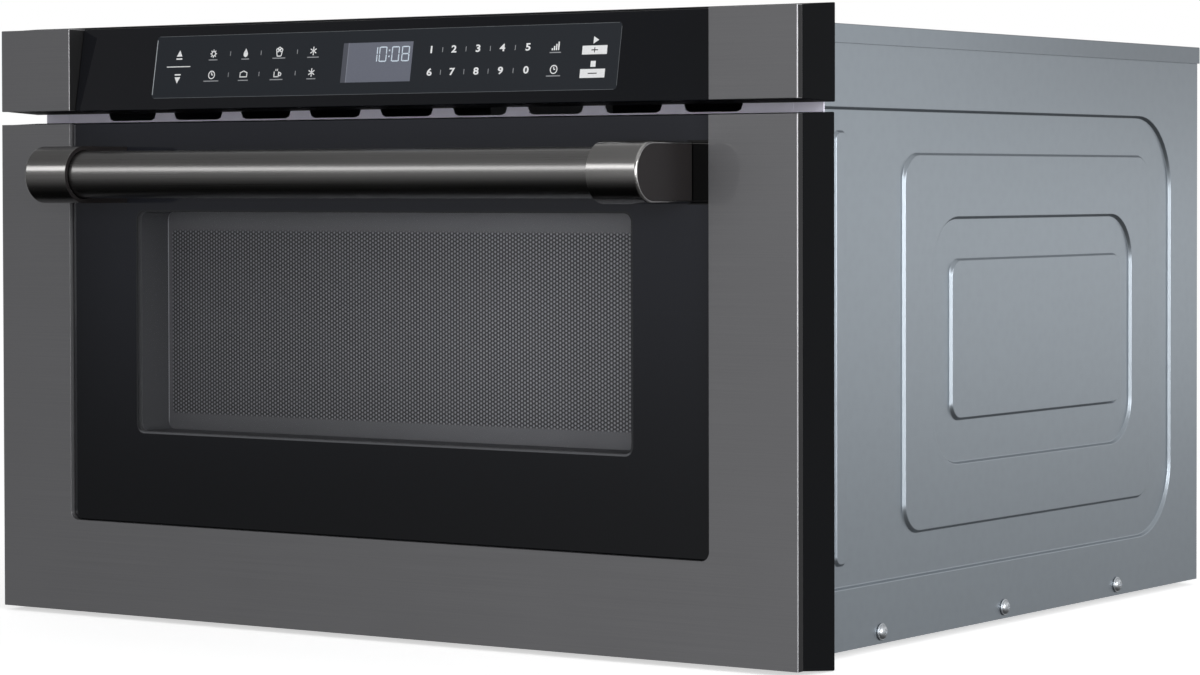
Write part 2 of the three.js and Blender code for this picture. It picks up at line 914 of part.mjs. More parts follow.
add("stirrer_motor", stirrerMotor(), zinc);

function stirrerBlade() {
  const z = cavityTop - stirrerDrop;
  const pieces = [
    rodZ(stirrerShaft, z - 1, stirrerShaftTop, 0, stirrerY, 12),
    rodZ(11, z - 1.5, z + 1.5, 0, stirrerY, 12),
  ];
  const bladeCount = 4;
  for (let i = 0; i < bladeCount; i += 1) {
    const blade = new THREE.BoxGeometry(stirrerReach - 6, 20, 0.8);
    blade.rotateX(0.14);
    blade.translate((stirrerReach + 6) / 2, 0, z);
    blade.rotateZ((i / bladeCount) * Math.PI * 2);
    blade.translate(0, stirrerY, 0);
    pieces.push(blade);
  }
  return join(...pieces);
}

add("stirrer_blade", stirrerBlade(), zinc);

function magnetron() {
  const top = guideLow - seat;
  const low = top - magnetronHeight;
  const x = magnetronWidth / 2;
  const y0 = bayY - magnetronDepth / 2;
  const y1 = bayY + magnetronDepth / 2;
  const plate = 2.5;
  const pieces = [
    block([-x, x], [y0, y1], [top - plate, top]),
    block([-x, x], [y0, y1], [low + 24, low + 24 + plate]),
    block([-x, -x + plate], [y0, y1], [low + 24, top]),
    block([x - plate, x], [y0, y1], [low + 24, top]),
    rodZ(20, low + 20, top, 0, bayY, 16),
    block([-x + 10, x - 10], [y0 + 8, y1 - 8], [low, low + 25]),
    rodZ(antennaRadius, top - 1, top + antennaHeight, 0, bayY, 12),
  ];
  const finPitch = (magnetronHeight - 24 - 2 * plate) / (finCount + 1);
  for (let i = 1; i <= finCount; i += 1) {
    const z = low + 24 + plate + i * finPitch;
    pieces.push(block([-x + 1, x - 1], [y0 + 4, y1 - 4], [z - 0.5, z + 0.5]));
  }
  return join(...pieces);
}

add("magnetron", magnetron(), zinc);

// Lamp holder on the outside of the left cavity wall, with its bulb.
function ovenLamp() {
  const x1 = -cavityX - sheet - seat;
  return join(
    block([x1 - 3, x1], [lampY - 18, lampY + 18], [lampZ - 18, lampZ + 18]),
    block([x1 - 26, x1 - 2], [lampY - 13, lampY + 13], [lampZ - 13, lampZ + 13]),
    rodX(7, x1 - 38, x1 - 25, lampY, lampZ, 12),
  );
}

add("oven_lamp", ovenLamp(), whitePlastic);

// ---------------------------------------------------------------------------
// Rear bay
// ---------------------------------------------------------------------------

const bayFloor = sheet + seat;

function powerTransformer() {
  const x0 = transformerX - transformerWidth / 2;
  const x1 = transformerX + transformerWidth / 2;
  const y0 = bayY - transformerDepth / 2;
  const y1 = bayY + transformerDepth / 2;
  const foot = 3;
  const coilX = transformerWidth * 0.3;
  const coilLow = bayFloor + 14;
  const coilHigh = bayFloor + transformerHeight - 14;
  const coil = prismY(
    polygon(
      roundedPoints(transformerX - coilX, transformerX + coilX, coilLow, coilHigh, 8, 3),
    ),
    y0 - windingProud,
    y1 + windingProud,
  );
  return join(
    block([x0, x1], [y0, y1], [bayFloor, bayFloor + transformerHeight]),
    block([x0 - 8, x1 + 8], [y0 + 8, y1 - 8], [bayFloor, bayFloor + foot]),
    coil,
  );
}

add("power_transformer", powerTransformer(), copper);

function powerCapacitor() {
  const half = capacitorWidth / 2;
  const can = prismZ(
    polygon(
      roundedPoints(
        capacitorX - half,
        capacitorX + half,
        bayY - capacitorDepth / 2,
        bayY + capacitorDepth / 2,
        capacitorDepth / 2,
      ),
    ),
    bayFloor,
    bayFloor + capacitorHeight,
  );
  const terminals = [-1, 1].map((side) => {
    const x = capacitorX + side * 11;
    const top = bayFloor + capacitorHeight;
    return block([x - 3, x + 3], [bayY - 0.5, bayY + 0.5], [top - 1, top + 9]);
  });
  return join(can, ...terminals);
}

add("power_capacitor", powerCapacitor(), zinc);

const fanFrameBack = caseRear - sheet - seat;
const fanFrameFront = fanFrameBack - fanFrameDepth;
const fanBridge = 4; // thickness of the arms that carry the fan motor
const fanShaft = 2.5;

function fanHousing() {
  const half = fanFrame / 2;
  const frame = prismY(
    polygon(roundedPoints(fanX - half, fanX + half, fanZ - half, fanZ + half, 8, 2)),
    fanFrameFront,
    fanFrameBack,
  );
  const bore = rodY(fanBore, fanFrameFront - 1, fanFrameBack + 1, fanX, fanZ, 28);
  const arms = [
    block(
      [fanX - half + 2, fanX + half - 2],
      [fanFrameFront, fanFrameFront + fanBridge],
      [fanZ - 8, fanZ + 8],
    ),
    block(
      [fanX - 8, fanX + 8],
      [fanFrameFront, fanFrameFront + fanBridge],
      [fanZ - half + 2, fanZ + half - 2],
    ),
  ];
  const shaftHole = rodY(
    fanShaft + shaftClear,
    fanFrameFront - 1,
    fanFrameFront + fanBridge + 1,
    fanX,
    fanZ,
    12,
  );
  return cut(cut(solid(frame), bore).add(join(...arms)), shaftHole);
}

add("fan_housing", fanHousing(), blackPlastic);

const fanShaftFront = fanFrameFront - 12;

function fanMotor() {
  const back = fanFrameFront - seat;
  const half = fanMotorSize / 2;
  const stack = join(
    block([fanX - half, fanX + half], [back - fanMotorDepth, back - 14], [fanZ - half, fanZ + half]),
    rodY(half * 0.72, back - 15, back, fanX, fanZ, 16),
    block(
      [fanX - half * 0.5, fanX + half * 0.5],
      [back - fanMotorDepth - 5, back - 9],
      [fanZ + half - 1, fanZ + half + 12],
    ),
  );
  const bore = rodY(fanShaft + shaftClear, fanShaftFront - seat, back + 1, fanX, fanZ, 12);
  return cut(stack, bore);
}

add("fan_motor", fanMotor(), copper);

function fanBlade() {
  const y0 = fanFrameFront + fanBridge + 3;
  const y1 = fanFrameBack - 4;
  const middle = (y0 + y1) / 2;
  const pieces = [
    rodY(fanShaft, fanShaftFront, y1 - 2, fanX, fanZ, 12),
    rodY(fanHub, y0, y1, fanX, fanZ, 15),
  ];
  for (let i = 0; i < fanBlades; i += 1) {
    const blade = new THREE.BoxGeometry(fanRadius - fanHub + 4, 22, 1.6);
    blade.rotateX(0.6);
    blade.translate((fanRadius + fanHub - 4) / 2, 0, 0);
    blade.rotateY((i / fanBlades) * Math.PI * 2);
    blade.translate(fanX, middle, fanZ);
    pieces.push(blade);
  }
  return join(...pieces);
}

add("fan_blade", fanBlade(), greyPlastic);

function filterBoard() {
  const rear = caseRear - sheet - seat;
  const front = rear - filterDepth;
  const x0 = filterX - filterWidth / 2;
  const x1 = filterX + filterWidth / 2;
  const top = filterZ + circuitThickness;
  const parts = filterParts.map((part) =>
    block(
      [filterX + part.side, filterX + part.side + part.width],
      [front + part.front, front + part.front + part.depth],
      [filterZ + 1, top + part.rise],
    ),
  );
  return join(
    block([x0, x1], [front, rear], [filterZ, top]),
    block([x0, x1], [rear - circuitThickness, rear], [filterZ - filterLip, top]),
    rodZ(
      chokeCoil.radius,
      filterZ + 1,
      top + chokeCoil.rise,
      filterX + chokeCoil.side,
      front + chokeCoil.front,
      14,
    ),
    ...parts,
  );
}

add("filter_board", filterBoard(), circuitGreen);

// Bush in the rear panel that the supply lead leaves through.
function cordGland() {
  const y0 = caseRear - sheet;
  const outer = glandRadius + 4;
  return cut(
    join(
      rodY(glandRadius, y0 - 8, caseRear + 5, glandX, glandZ, 16),
      rodY(outer, caseRear + seat, caseRear + 3, glandX, glandZ, 16),
      rodY(outer, y0 - 5, y0 - seat, glandX, glandZ, 6),
    ),
    rodY(4, y0 - 9, caseRear + 6, glandX, glandZ, 12),
  );
}

add("cord_gland", cordGland(), blackPlastic);

// ---------------------------------------------------------------------------
// Fascia
// ---------------------------------------------------------------------------

// Where the leaning glass's front face stands at a height.
function fasciaGlassAt(z) {
  const share = (z - fasciaLow) / fasciaHeight;
  return faceY + fasciaGlassLow + share * (fasciaGlassHigh - fasciaGlassLow);
}

// An outline in Y and Z between two leaning faces, set back by `from` and `to`.
function leaning(z0, z1, from, to) {
  return polygon([
    [fasciaGlassAt(z0) + from, z0],
    [fasciaGlassAt(z0) + to, z0],
    [fasciaGlassAt(z1) + to, z1],
    [fasciaGlassAt(z1) + from, z1],
  ]);
}

add(
  "control_glass",
  prismX(
    leaning(fasciaLow, fasciaTop, 0, fasciaGlassThickness),
    -glassX + glassClear,
    glassX - glassClear,
  ),
  darkGlass,
);

function endCap() {
  const shell = block([glassX, frontX], [faceY, faceY + steelFold], [fasciaLow, fasciaTop]);
  const hollow = block(
    [glassX - 1, frontX - skin],
    [faceY + skin, faceY + steelFold + 1],
    [fasciaLow + skin, fasciaTop - skin],
  );
  const reveal = prismX(
    polygon([
      [faceY, fasciaLow],
      [fasciaGlassAt(fasciaLow) + fasciaGlassThickness, fasciaLow],
      [fasciaGlassAt(fasciaTop) + fasciaGlassThickness, fasciaTop],
      [faceY, fasciaTop],
    ]),
    glassX,
    glassX + skin,
  );
  return cut(solid(shell), hollow).add(solid(reveal));
}

addPair("end_cap", endCap(), darkSteel);

function fasciaBody() {
  const foldBack = faceY + steelFold + seat;
  const flared = taperedBlock(
    foldBack,
    [-frontX, frontX, fasciaLow, fasciaTop],
    fasciaBack,
    [-frontX - rimFlare, frontX + rimFlare, fasciaLow - slitFlare, fasciaTop + rimFlare],
  );
  const inset = skin + seat;
  const nose = block(
    [-frontX + inset, frontX - inset],
    [faceY + inset, foldBack + 1],
    [fasciaLow + inset, fasciaTop - inset],
  );
  const behind = fasciaGlassThickness + seat;
  const over = 8;
  const glassRoom = prismX(
    leaning(fasciaLow - over, fasciaTop + over, -40, behind),
    -glassX - skin - seat,
    glassX + skin + seat,
  );
  const hollow = prismX(
    polygon([
      [fasciaGlassAt(fasciaLow + mouldWall) + behind + mouldFront, fasciaLow + mouldWall],
      [fasciaBack + 1, fasciaLow + mouldWall],
      [fasciaBack + 1, fasciaTop - mouldWall],
      [fasciaGlassAt(fasciaTop - mouldWall) + behind + mouldFront, fasciaTop - mouldWall],
    ]),
    -frontX + mouldWall + 0.2,
    frontX - mouldWall - 0.2,
  );
  const displayRoom = block(
    [displayX - displayWidth / 2 - 3, displayX + displayWidth / 2 + 3],
    [faceY, boardY],
    [displayZ - displayHeight / 2 - 3, displayZ + displayHeight / 2 + 3],
  );
  const bosses = [-1, 1].map((side) =>
    rodY(
      4,
      fasciaGlassAt(fasciaMidZ) + behind + 1,
      boardY - seat,
      side * (boardWidth / 2 - 12),
      fasciaMidZ,
      10,
    ),
  );
  const body = cut(join(flared, nose), glassRoom, hollow, displayRoom);
  return body.add(join(...bosses));
}

add("fascia_body", fasciaBody(), blackPlastic);

function displayModule() {
  const z0 = displayZ - displayHeight / 2;
  const z1 = displayZ + displayHeight / 2;
  const back = boardY - seat;
  const front = fasciaGlassThickness + seat;
  return prismX(
    polygon([
      [fasciaGlassAt(z0) + front, z0],
      [back, z0],
      [back, z1],
      [fasciaGlassAt(z1) + front, z1],
    ]),
    displayX - displayWidth / 2,
    displayX + displayWidth / 2,
  );
}

add("display_module", displayModule(), displayBlue);

function controlBoard() {
  const z0 = fasciaLow + mouldWall + boardMargin;
  const z1 = fasciaTop - mouldWall - boardMargin;
  const back = boardY + circuitThickness;
  const parts = boardParts.map((part) =>
    block(
      [part.side - part.width / 2, part.side + part.width / 2],
      [back - 0.5, back + part.rise],
      [z0 + part.low, z0 + part.low + part.height],
    ),
  );
  return join(block([-boardWidth / 2, boardWidth / 2], [boardY, back], [z0, z1]), ...parts);
}

add("control_board", controlBoard(), circuitGreen);

// ---------------------------------------------------------------------------
// Door
// ---------------------------------------------------------------------------

const doorGlassLow = doorLow + bottomStrip;

// The U of steel round the glass, drawn in X and Z. A positive inset makes it thinner.
function steelU(inset) {
  const x = frontX - inset;
  const low = doorLow + inset;
  const top = doorTop - inset;
  const gx = glassX + inset;
  const gz = doorGlassLow - inset;
  const r = glassCorner + inset;
  const arc = (cx, sign) => {
    const points = [];
    for (let i = 0; i <= roundSteps; i += 1) {
      const angle = (i / roundSteps) * (Math.PI / 2);
      const turn = sign > 0 ? Math.PI / 2 - angle : angle;
      points.push([cx + sign * r * Math.cos(turn), gz + r - r * Math.sin(turn)]);
    }
    return points;
  };
  return polygon([
    [-x, low],
    [x, low],
    [x, top],
    [gx, top],
    ...arc(gx - r, 1).reverse(),
    ...arc(-gx + r, -1).reverse(),
    [-gx, top],
    [-x, top],
  ]);
}

function doorFrame() {
  const shell = prismY(steelU(0), faceY, faceY + steelFold);
  const hollow = prismY(steelU(skin), faceY + skin, faceY + steelFold + 1);
  const revealBack = faceY + doorGlassRecess + doorGlassThickness;
  const reveal = prismY(steelU(0), faceY, revealBack);
  const keep = block(
    [-glassX - skin, glassX + skin],
    [faceY - 1, revealBack + 1],
    [doorGlassLow - skin, doorTop + 1],
  );
  const band = solid(reveal).intersect(solid(keep));
  const bandHollow = prismY(steelU(skin), faceY + skin, revealBack + 1);
  return cut(solid(shell), hollow).add(cut(band, bandHollow));
}

add("door_frame", doorFrame(), darkSteel);

function doorGlass() {
  const x = glassX - glassClear;
  const low = doorGlassLow + glassClear;
  const r = glassCorner - glassClear;
  const points = roundedPoints(-x, x, low, doorTop + 20, r);
  const tall = prismY(
    polygon(points),
    faceY + doorGlassRecess,
    faceY + doorGlassRecess + doorGlassThickness,
  );
  return cut(solid(tall), block([-x - 1, x + 1], [faceY, faceY + 20], [doorTop, doorTop + 40]));
}

add("door_glass", doorGlass(), darkGlass);

// A rounded rectangle round the window, grown by a margin.
function windowOutline(margin) {
  return polygon(
    roundedPoints(
      -windowX - margin,
      windowX + margin,
      windowLow - margin,
      windowTop + margin,
      windowCorner + margin,
      3,
    ),
  );
}

const doorGlassBack = faceY + doorGlassRecess + doorGlassThickness;

function doorBody() {
  const foldBack = faceY + steelFold + seat;
  const flared = taperedBlock(
    foldBack,
    [-frontX, frontX, doorLow, doorTop],
    doorBack,
    [-frontX - rimFlare, frontX + rimFlare, doorLow - lowFlare, doorTop + slitFlare],
  );
  const inset = skin + seat;
  const nose = block(
    [-frontX + inset, frontX - inset],
    [faceY + inset, foldBack + 1],
    [doorLow + inset, doorTop - inset],
  );
  const glassRoom = block(
    [-glassX - skin - seat, glassX + skin + seat],
    [faceY - 1, doorGlassBack + seat],
    [doorGlassLow - skin - seat, doorTop + 10],
  );
  const hollow = block(
    [-frontX + mouldWall, frontX - mouldWall],
    [doorGlassBack + seat + mouldFront, doorBack + 1],
    [doorLow + mouldWall, doorTop - mouldWall],
  );
  const opening = prismY(windowOutline(linerWall + seat), faceY, doorBack);
  return cut(join(flared, nose), glassRoom, hollow, opening);
}

add("door_body", doorBody(), blackPlastic);

const panelFront = panelBack - screenThickness;

function windowLiner() {
  const y0 = doorGlassBack + seat;
  const y1 = panelFront - seat;
  const tube = prismY(windowOutline(linerWall), y0, y1);
  return cut(solid(tube), prismY(windowOutline(0), y0 - 1, y1 + 1));
}

add("window_liner", windowLiner(), greyPlastic);

const screenClear = 0.4;

add(
  "window_screen",
  prismY(windowOutline(-screenClear), panelFront, panelBack),
  screenSteel,
);

function doorInnerPanel() {
  const x = frontX - mouldWall - seat;
  const low = doorLow + mouldWall + seat;
  const top = doorTop - mouldWall - seat;
  const pan = solid(block([-x, x], [panelBack - panelFold, panelBack], [low, top]));
  const well = block(
    [-x + sheet, x - sheet],
    [panelBack - panelFold - 1, panelFront],
    [low + sheet, top - sheet],
  );
  return cut(pan, well, prismY(windowOutline(0), panelFront - 1, panelBack + 1));
}

add("door_inner_panel", doorInnerPanel(), galvanised);

function chokeCover() {
  const inX = boxX + boxRimWidth + 2;
  const outX = inX + chokeWidth;
  const low = boxLow - 2;
  const top = boxTop + 8;
  const y0 = panelBack + seat;
  const y1 = y0 + chokeThickness;
  const outer = prismY(
    polygon(roundedPoints(-outX, outX, low - chokeWidth, top + chokeWidth, 8, 3)),
    y0,
    y1,
  );
  return cut(solid(outer), block([-inX, inX], [y0 - 1, y1 + 1], [low, top]));
}

add("choke_cover", chokeCover(), greyPlastic);

// ---------------------------------------------------------------------------
// Handle
// ---------------------------------------------------------------------------

const barY = faceY - handleReach;
const bracketOuter = glassX - handleInset;
const bracketInner = bracketOuter - bracketWidth;

// Bracket outline in Y and Z: round in front, straight back to the glass.
function bracketOutline(inset) {
  const r = bracketRadius - inset;
  const back = faceY + doorGlassRecess - seat;
  const points = [
    [back, handleHeight - r],
    [back, handleHeight + r],
  ];
  const steps = 14;
  for (let i = 0; i <= steps; i += 1) {
    const angle = Math.PI / 2 + (i / steps) * Math.PI;
    points.push([barY + r * Math.cos(angle), handleHeight + r * Math.sin(angle)]);
  }
  return points;
}

function handleBracket() {
  const x0 = bracketInner;
  const x1 = bracketOuter;
  const c = bracketChamfer;
  const body = loft(bracketOutline(0), x0, bracketOutline(0), x1 - c).applyMatrix4(alongX);
  const rim = loft(bracketOutline(0), x1 - c, bracketOutline(c), x1).applyMatrix4(alongX);
  const socket = rodX(barRadius + socketClear, x0 - 1, x0 + socketDepth + seat, barY, handleHeight, 28);
  return cut(join(body, rim), socket);
}

addPair("handle_bracket", handleBracket(), darkSteel);

const barHalf = bracketInner + socketDepth;
add("handle_bar", rodX(barRadius, -barHalf, barHalf, barY, handleHeight, 28), darkSteel);

// ---------------------------------------------------------------------------
// Drawer box
// ---------------------------------------------------------------------------

function drawerBox() {
  const shell = block([-boxX, boxX], [boxFront, boxRear], [boxLow, boxTop]);
  const rimX = boxX + boxRimWidth;
  const rim = block([-rimX, rimX], [boxFront, boxRear + boxRimWidth], [boxTop - boxRimHeight, boxTop]);
  const inside = block(
    [-boxX + boxSheet, boxX - boxSheet],
    [boxFront + boxSheet, boxRear - boxSheet],
    [boxLow + boxSheet, boxTop + 1],
  );
  const opening = prismY(windowOutline(-screenLap), boxFront - 1, boxFront + boxSheet + 1);
  return cut(join(shell, rim), inside, opening);
}

add("drawer_box", drawerBox(), cavitySteel);

function floorPlate() {
  const x = boxX - boxSheet - floorPlateClear;
  const y0 = boxFront + boxSheet + floorPlateClear;
  const y1 = boxRear - boxSheet - floorPlateClear;
  const z0 = boxLow + boxSheet + seat;
  return prismZ(polygon(roundedPoints(-x, x, y0, y1, 12)), z0, z0 + floorPlateThickness);
}

add("floor_plate", floorPlate(), ceramic);

// ---------------------------------------------------------------------------
// Slides and rails
// ---------------------------------------------------------------------------

// A channel that opens inwards, with lips, drawn in X and Z for the right-hand side.
function channel({ offset, depth, half }, lipEdge) {
  const x = (u) => slideX - offset - u;
  const t = slideSheet;
  const upper = [
    [x(t), slideCentre + half - t],
    [x(depth - t), slideCentre + half - t],
    [x(depth - t), slideCentre + lipEdge],
    [x(depth), slideCentre + lipEdge],
    [x(depth), slideCentre + half],
    [x(0), slideCentre + half],
  ];
  const lower = upper.map(([u, z]) => [u, 2 * slideCentre - z]).reverse();
  return polygon([...upper, ...lower]);
}

const middleLip = innerSlide.half + slideRun;
const outerLip = middleSlide.half + slideRun;

addPair(
  "outer_slide",
  prismY(channel(outerSlide, outerLip), slideFront, slideFront + slideLength),
  zinc,
);
addPair(
  "middle_slide",
  prismY(channel(middleSlide, middleLip), slideFront, slideFront + slideLength),
  zinc,
);

function innerSlideShape() {
  const near = slideX - innerSlide.offset;
  const far = near - innerSlide.depth;
  const t = slideSheet;
  const up = slideCentre + innerSlide.half;
  const down = slideCentre - innerSlide.half;
  return polygon([
    [far, down],
    [near, down],
    [near, down + t],
    [far + t, down + t],
    [far + t, up - t],
    [near, up - t],
    [near, up],
    [far, up],
  ]);
}

addPair(
  "inner_slide",
  prismY(innerSlideShape(), slideFront, slideFront + slideLength),
  zinc,
);

const railX = slideX - innerSlide.offset - innerSlide.depth - seat;
const railRear = slideFront + slideLength;

function rail() {
  const low = railTop - railHeight;
  const web = block([railX - railSheet, railX], [boxFront, railRear], [low, railTop]);
  const flange = block(
    [railX - railFlange, railX],
    [boxFront, railRear],
    [railTop - railSheet, railTop],
  );
  const tab = block([railX - railFlange, railX], [boxFront, boxFront + tabThickness], [low, railTop]);
  return join(web, flange, tab);
}

addPair("rail", rail(), galvanised);

const crossBarLow = Math.max(railTop, rackTopZ) + seat;

function crossBar() {
  const y1 = railRear;
  const y0 = y1 - crossBarDepth;
  const bar = solid(block([-railX, railX], [y0, y1], [crossBarLow, crossBarLow + crossBarHeight]));
  const groove = block(
    [-railX - 1, railX + 1],
    [y0 + railSheet, y1 - railSheet],
    [crossBarLow + railSheet, crossBarLow + crossBarHeight + 1],
  );
  const pads = [-1, 1].map((side) =>
    block(
      [side * railX - railFlange / 2, side * railX + railFlange / 2].map((x) =>
        Math.max(-railX, Math.min(railX, x)),
      ),
      [y0, y1],
      [railTop + seat, crossBarLow + railSheet],
    ),
  );
  return cut(bar, groove).add(join(...pads));
}

add("cross_bar", crossBar(), galvanised);

// ---------------------------------------------------------------------------
// Rack-and-pinion drive
// ---------------------------------------------------------------------------

const toothPitch = Math.PI * gearModule;

// A rack tooth stands over the pinion's axis at rest, in one of the pinion's gaps.
function driveRack() {
  const slant = Math.tan(pressureAngle);
  const halfAt = (depth) => toothPitch / 4 - backlash / 2 + depth * slant;
  const rearTeeth = Math.ceil((travel + 2 * gearModule) / toothPitch);
  const frontTeeth = 2;
  const tipZ = rackPitchZ - rackTip;
  const rootZ = rackPitchZ + rackRoot;
  const teeth = [];
  for (let i = -frontTeeth; i <= rearTeeth; i += 1) {
    const y = pinionY + i * toothPitch;
    teeth.push([y - halfAt(rackRoot), rootZ]);
    teeth.push([y - halfAt(-rackTip), tipZ]);
    teeth.push([y + halfAt(-rackTip), tipZ]);
    teeth.push([y + halfAt(rackRoot), rootZ]);
  }
  const rear = pinionY + (rearTeeth + 0.5) * toothPitch;
  const outline = polygon([
    [boxFront, rootZ],
    ...teeth,
    [rear, rootZ],
    [rear, rackTopZ],
    [boxFront, rackTopZ],
  ]);
  const bar = prismX(outline, driveX - rackWidth / 2, driveX + rackWidth / 2);
  const foot = block(
    [driveX - rackFootHalf, driveX + rackFootHalf],
    [boxFront, boxFront + tabThickness],
    [rackPitchZ - rackFootHalf, rackTopZ + 2],
  );
  return join(bar, foot);
}

add("drive_rack", driveRack(), gearNylon);

function pinionOutline() {
  const base = pinionRadius * Math.cos(pressureAngle);
  const involute = (angle) => Math.tan(angle) - angle;
  const half = Math.PI / (2 * pinionTeeth) - backlash / 2 / pinionRadius;
  const halfAt = (radius) => {
    const pressure = radius > base ? Math.acos(base / radius) : 0;
    return half + involute(pressureAngle) - involute(pressure);
  };
  const tip = pinionRadius + pinionTip;
  const radii = [pinionRadius - pinionRoot, base, pinionRadius, tip];
  const points = [];
  for (let i = 0; i < pinionTeeth; i += 1) {
    const middle = Math.PI / 2 + ((i + 0.5) / pinionTeeth) * Math.PI * 2;
    for (const radius of radii) {
      const angle = middle - halfAt(radius);
      points.push([radius * Math.cos(angle), radius * Math.sin(angle)]);
    }
    for (const radius of [...radii].reverse()) {
      const angle = middle + halfAt(radius);
      points.push([radius * Math.cos(angle), radius * Math.sin(angle)]);
    }
  }
  return points;
}

const gearboxX = driveX + pinionWidth / 2 + 3;
const pinionShaftEnd = gearboxX + 12;

function drivePinion() {
  const x0 = driveX - pinionWidth / 2;
  const x1 = driveX + pinionWidth / 2;
  const points = pinionOutline().map(([y, z]) => [y + pinionY, z + pinionZ]);
  const wheel = prismX(polygon(points), x0, x1);
  return join(wheel, rodX(pinionShaft, x0 - 3, pinionShaftEnd, pinionY, pinionZ, 12));
}

add("drive_pinion", drivePinion(), gearNylon);

function driveGearbox() {
  const y0 = pinionY - gearboxDepth / 2 + 4;
  const y1 = y0 + gearboxDepth;
  const top = pinionZ + 11;
  const x1 = gearboxX + gearboxWidth;
  const motorZ = bayFloor + motorRadius + 3;
  const motorY = (y0 + y1) / 2 + 4;
  const housing = join(
    block([gearboxX, x1], [y0, y1], [bayFloor, top]),
    rodX(motorRadius, x1 - 1, x1 + motorLength, motorY, motorZ, 16),
    rodX(5, x1 + motorLength - 1, x1 + motorLength + 5, motorY, motorZ, 10),
    block([x1 + 6, x1 + motorLength - 6], [motorY - 14, motorY + 14], [bayFloor, motorZ]),
  );
  const bore = rodX(
    pinionShaft + shaftClear,
    gearboxX - 1,
    pinionShaftEnd + seat,
    pinionY,
    pinionZ,
    12,
  );
  return cut(housing, bore);
}

add("drive_gearbox", driveGearbox(), greyPlastic);

// ---------------------------------------------------------------------------
// Latches and their switches
// ---------------------------------------------------------------------------

function latchHook() {
  const x0 = hookX - hookThickness / 2;
  const x1 = hookX + hookThickness / 2;
  const tip = boxFront + hookReach;
  const z0 = hookZ - hookHeight / 2;
  const z1 = hookZ + hookHeight / 2;
  const plate = prismX(
    polygon([
      [boxFront, z0],
      [tip - 4, z0],
      [tip, z0 + 4],
      [tip, z0 + 9],
      [tip - 9, z0 + 9],
      [tip - 9, z1 - 4],
      [boxFront, z1 - 4],
    ]),
    x0,
    x1,
  );
  const foot = block([x0 - 3, x1 + 3], [boxFront, boxFront + tabThickness], [z0 - 2, z1 + 2]);
  return join(plate, foot);
}

addPair("latch_hook", latchHook(), greyPlastic);

function latchSwitch() {
  const y0 = plateBack + seat;
  const x0 = hookX - latchBlockWidth / 2;
  const x1 = hookX + latchBlockWidth / 2;
  const z0 = hookZ - latchBlockHeight / 2;
  const z1 = hookZ + latchBlockHeight / 2;
  const housing = solid(block([x0, x1], [y0, y0 + latchBlockDepth], [z0, z1]));
  const pocket = block(
    [hookX - hookThickness / 2 - latchClear, hookX + hookThickness / 2 + latchClear],
    [y0 - 1, boxFront + hookReach + latchClear],
    [hookZ - hookHeight / 2 - latchClear, hookZ + hookHeight / 2 + latchClear],
  );
  return cut(housing, pocket);
}

addPair("latch_switch", latchSwitch(), whitePlastic);

export default root;
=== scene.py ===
# %% [markdown]
# # A built-in microwave drawer
# The real object is a galvanised steel case with a dark stainless front. A leaning strip of
# black glass carries the touch controls, and under it a glazed door with a bar handle slides
# out on telescopic rails. The measured model is loaded first and stays as it is: every piece
# made here sits where that model says and rides on one of its bodies.

import math

import bmesh
import bpy
from mathutils import Matrix, Vector


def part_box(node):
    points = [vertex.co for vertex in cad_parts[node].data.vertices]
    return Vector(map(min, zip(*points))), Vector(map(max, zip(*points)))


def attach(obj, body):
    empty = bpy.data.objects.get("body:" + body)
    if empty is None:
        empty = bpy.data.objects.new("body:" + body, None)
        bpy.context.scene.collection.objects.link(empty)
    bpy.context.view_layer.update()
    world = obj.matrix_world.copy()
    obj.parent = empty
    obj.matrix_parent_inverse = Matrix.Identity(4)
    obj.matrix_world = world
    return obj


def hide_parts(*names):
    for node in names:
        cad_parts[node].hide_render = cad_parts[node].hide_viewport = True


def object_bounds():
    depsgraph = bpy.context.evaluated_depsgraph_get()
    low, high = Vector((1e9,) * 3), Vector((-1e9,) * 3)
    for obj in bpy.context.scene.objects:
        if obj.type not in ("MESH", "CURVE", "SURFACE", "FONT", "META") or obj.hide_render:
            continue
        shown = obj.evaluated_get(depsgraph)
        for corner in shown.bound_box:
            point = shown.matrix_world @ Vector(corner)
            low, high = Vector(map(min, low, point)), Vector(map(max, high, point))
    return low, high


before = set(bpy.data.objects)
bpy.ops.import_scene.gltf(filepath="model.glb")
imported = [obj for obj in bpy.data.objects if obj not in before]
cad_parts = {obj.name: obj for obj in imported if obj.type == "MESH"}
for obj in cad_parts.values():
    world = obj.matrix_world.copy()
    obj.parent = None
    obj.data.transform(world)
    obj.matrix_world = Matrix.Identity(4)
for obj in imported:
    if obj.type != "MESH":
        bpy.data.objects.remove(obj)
cad_box = [list(corner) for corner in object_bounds()]
mm = 0.001
print("nodes:", len(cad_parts))

# %% [markdown]
# ## Small tools
# Blender's operators act on whatever is selected, so every step starts from a clean
# selection. A piece is made as it would be by hand: a primitive at its size and place, edges
# picked by where they lie, and then a bevel, a cut or a modifier that is applied. Its place is
# baked into its mesh, because patterns are drawn in the object's own coordinates.

# %% Selecting and settling


def clear_selection():
    if bpy.context.mode != "OBJECT":
        bpy.ops.object.mode_set(mode="OBJECT")
    bpy.ops.object.select_all(action="DESELECT")


def take(piece):
    clear_selection()
    piece.select_set(True)
    bpy.context.view_layer.objects.active = piece
    return piece


def settle(piece):
    take(piece)
    bpy.ops.object.transform_apply(location=True, rotation=True, scale=True)
    return piece


def name_piece(name):
    piece = bpy.context.object
    piece.name = name
    piece.data.name = name
    return settle(piece)


clear_selection()

# %% Starting shapes


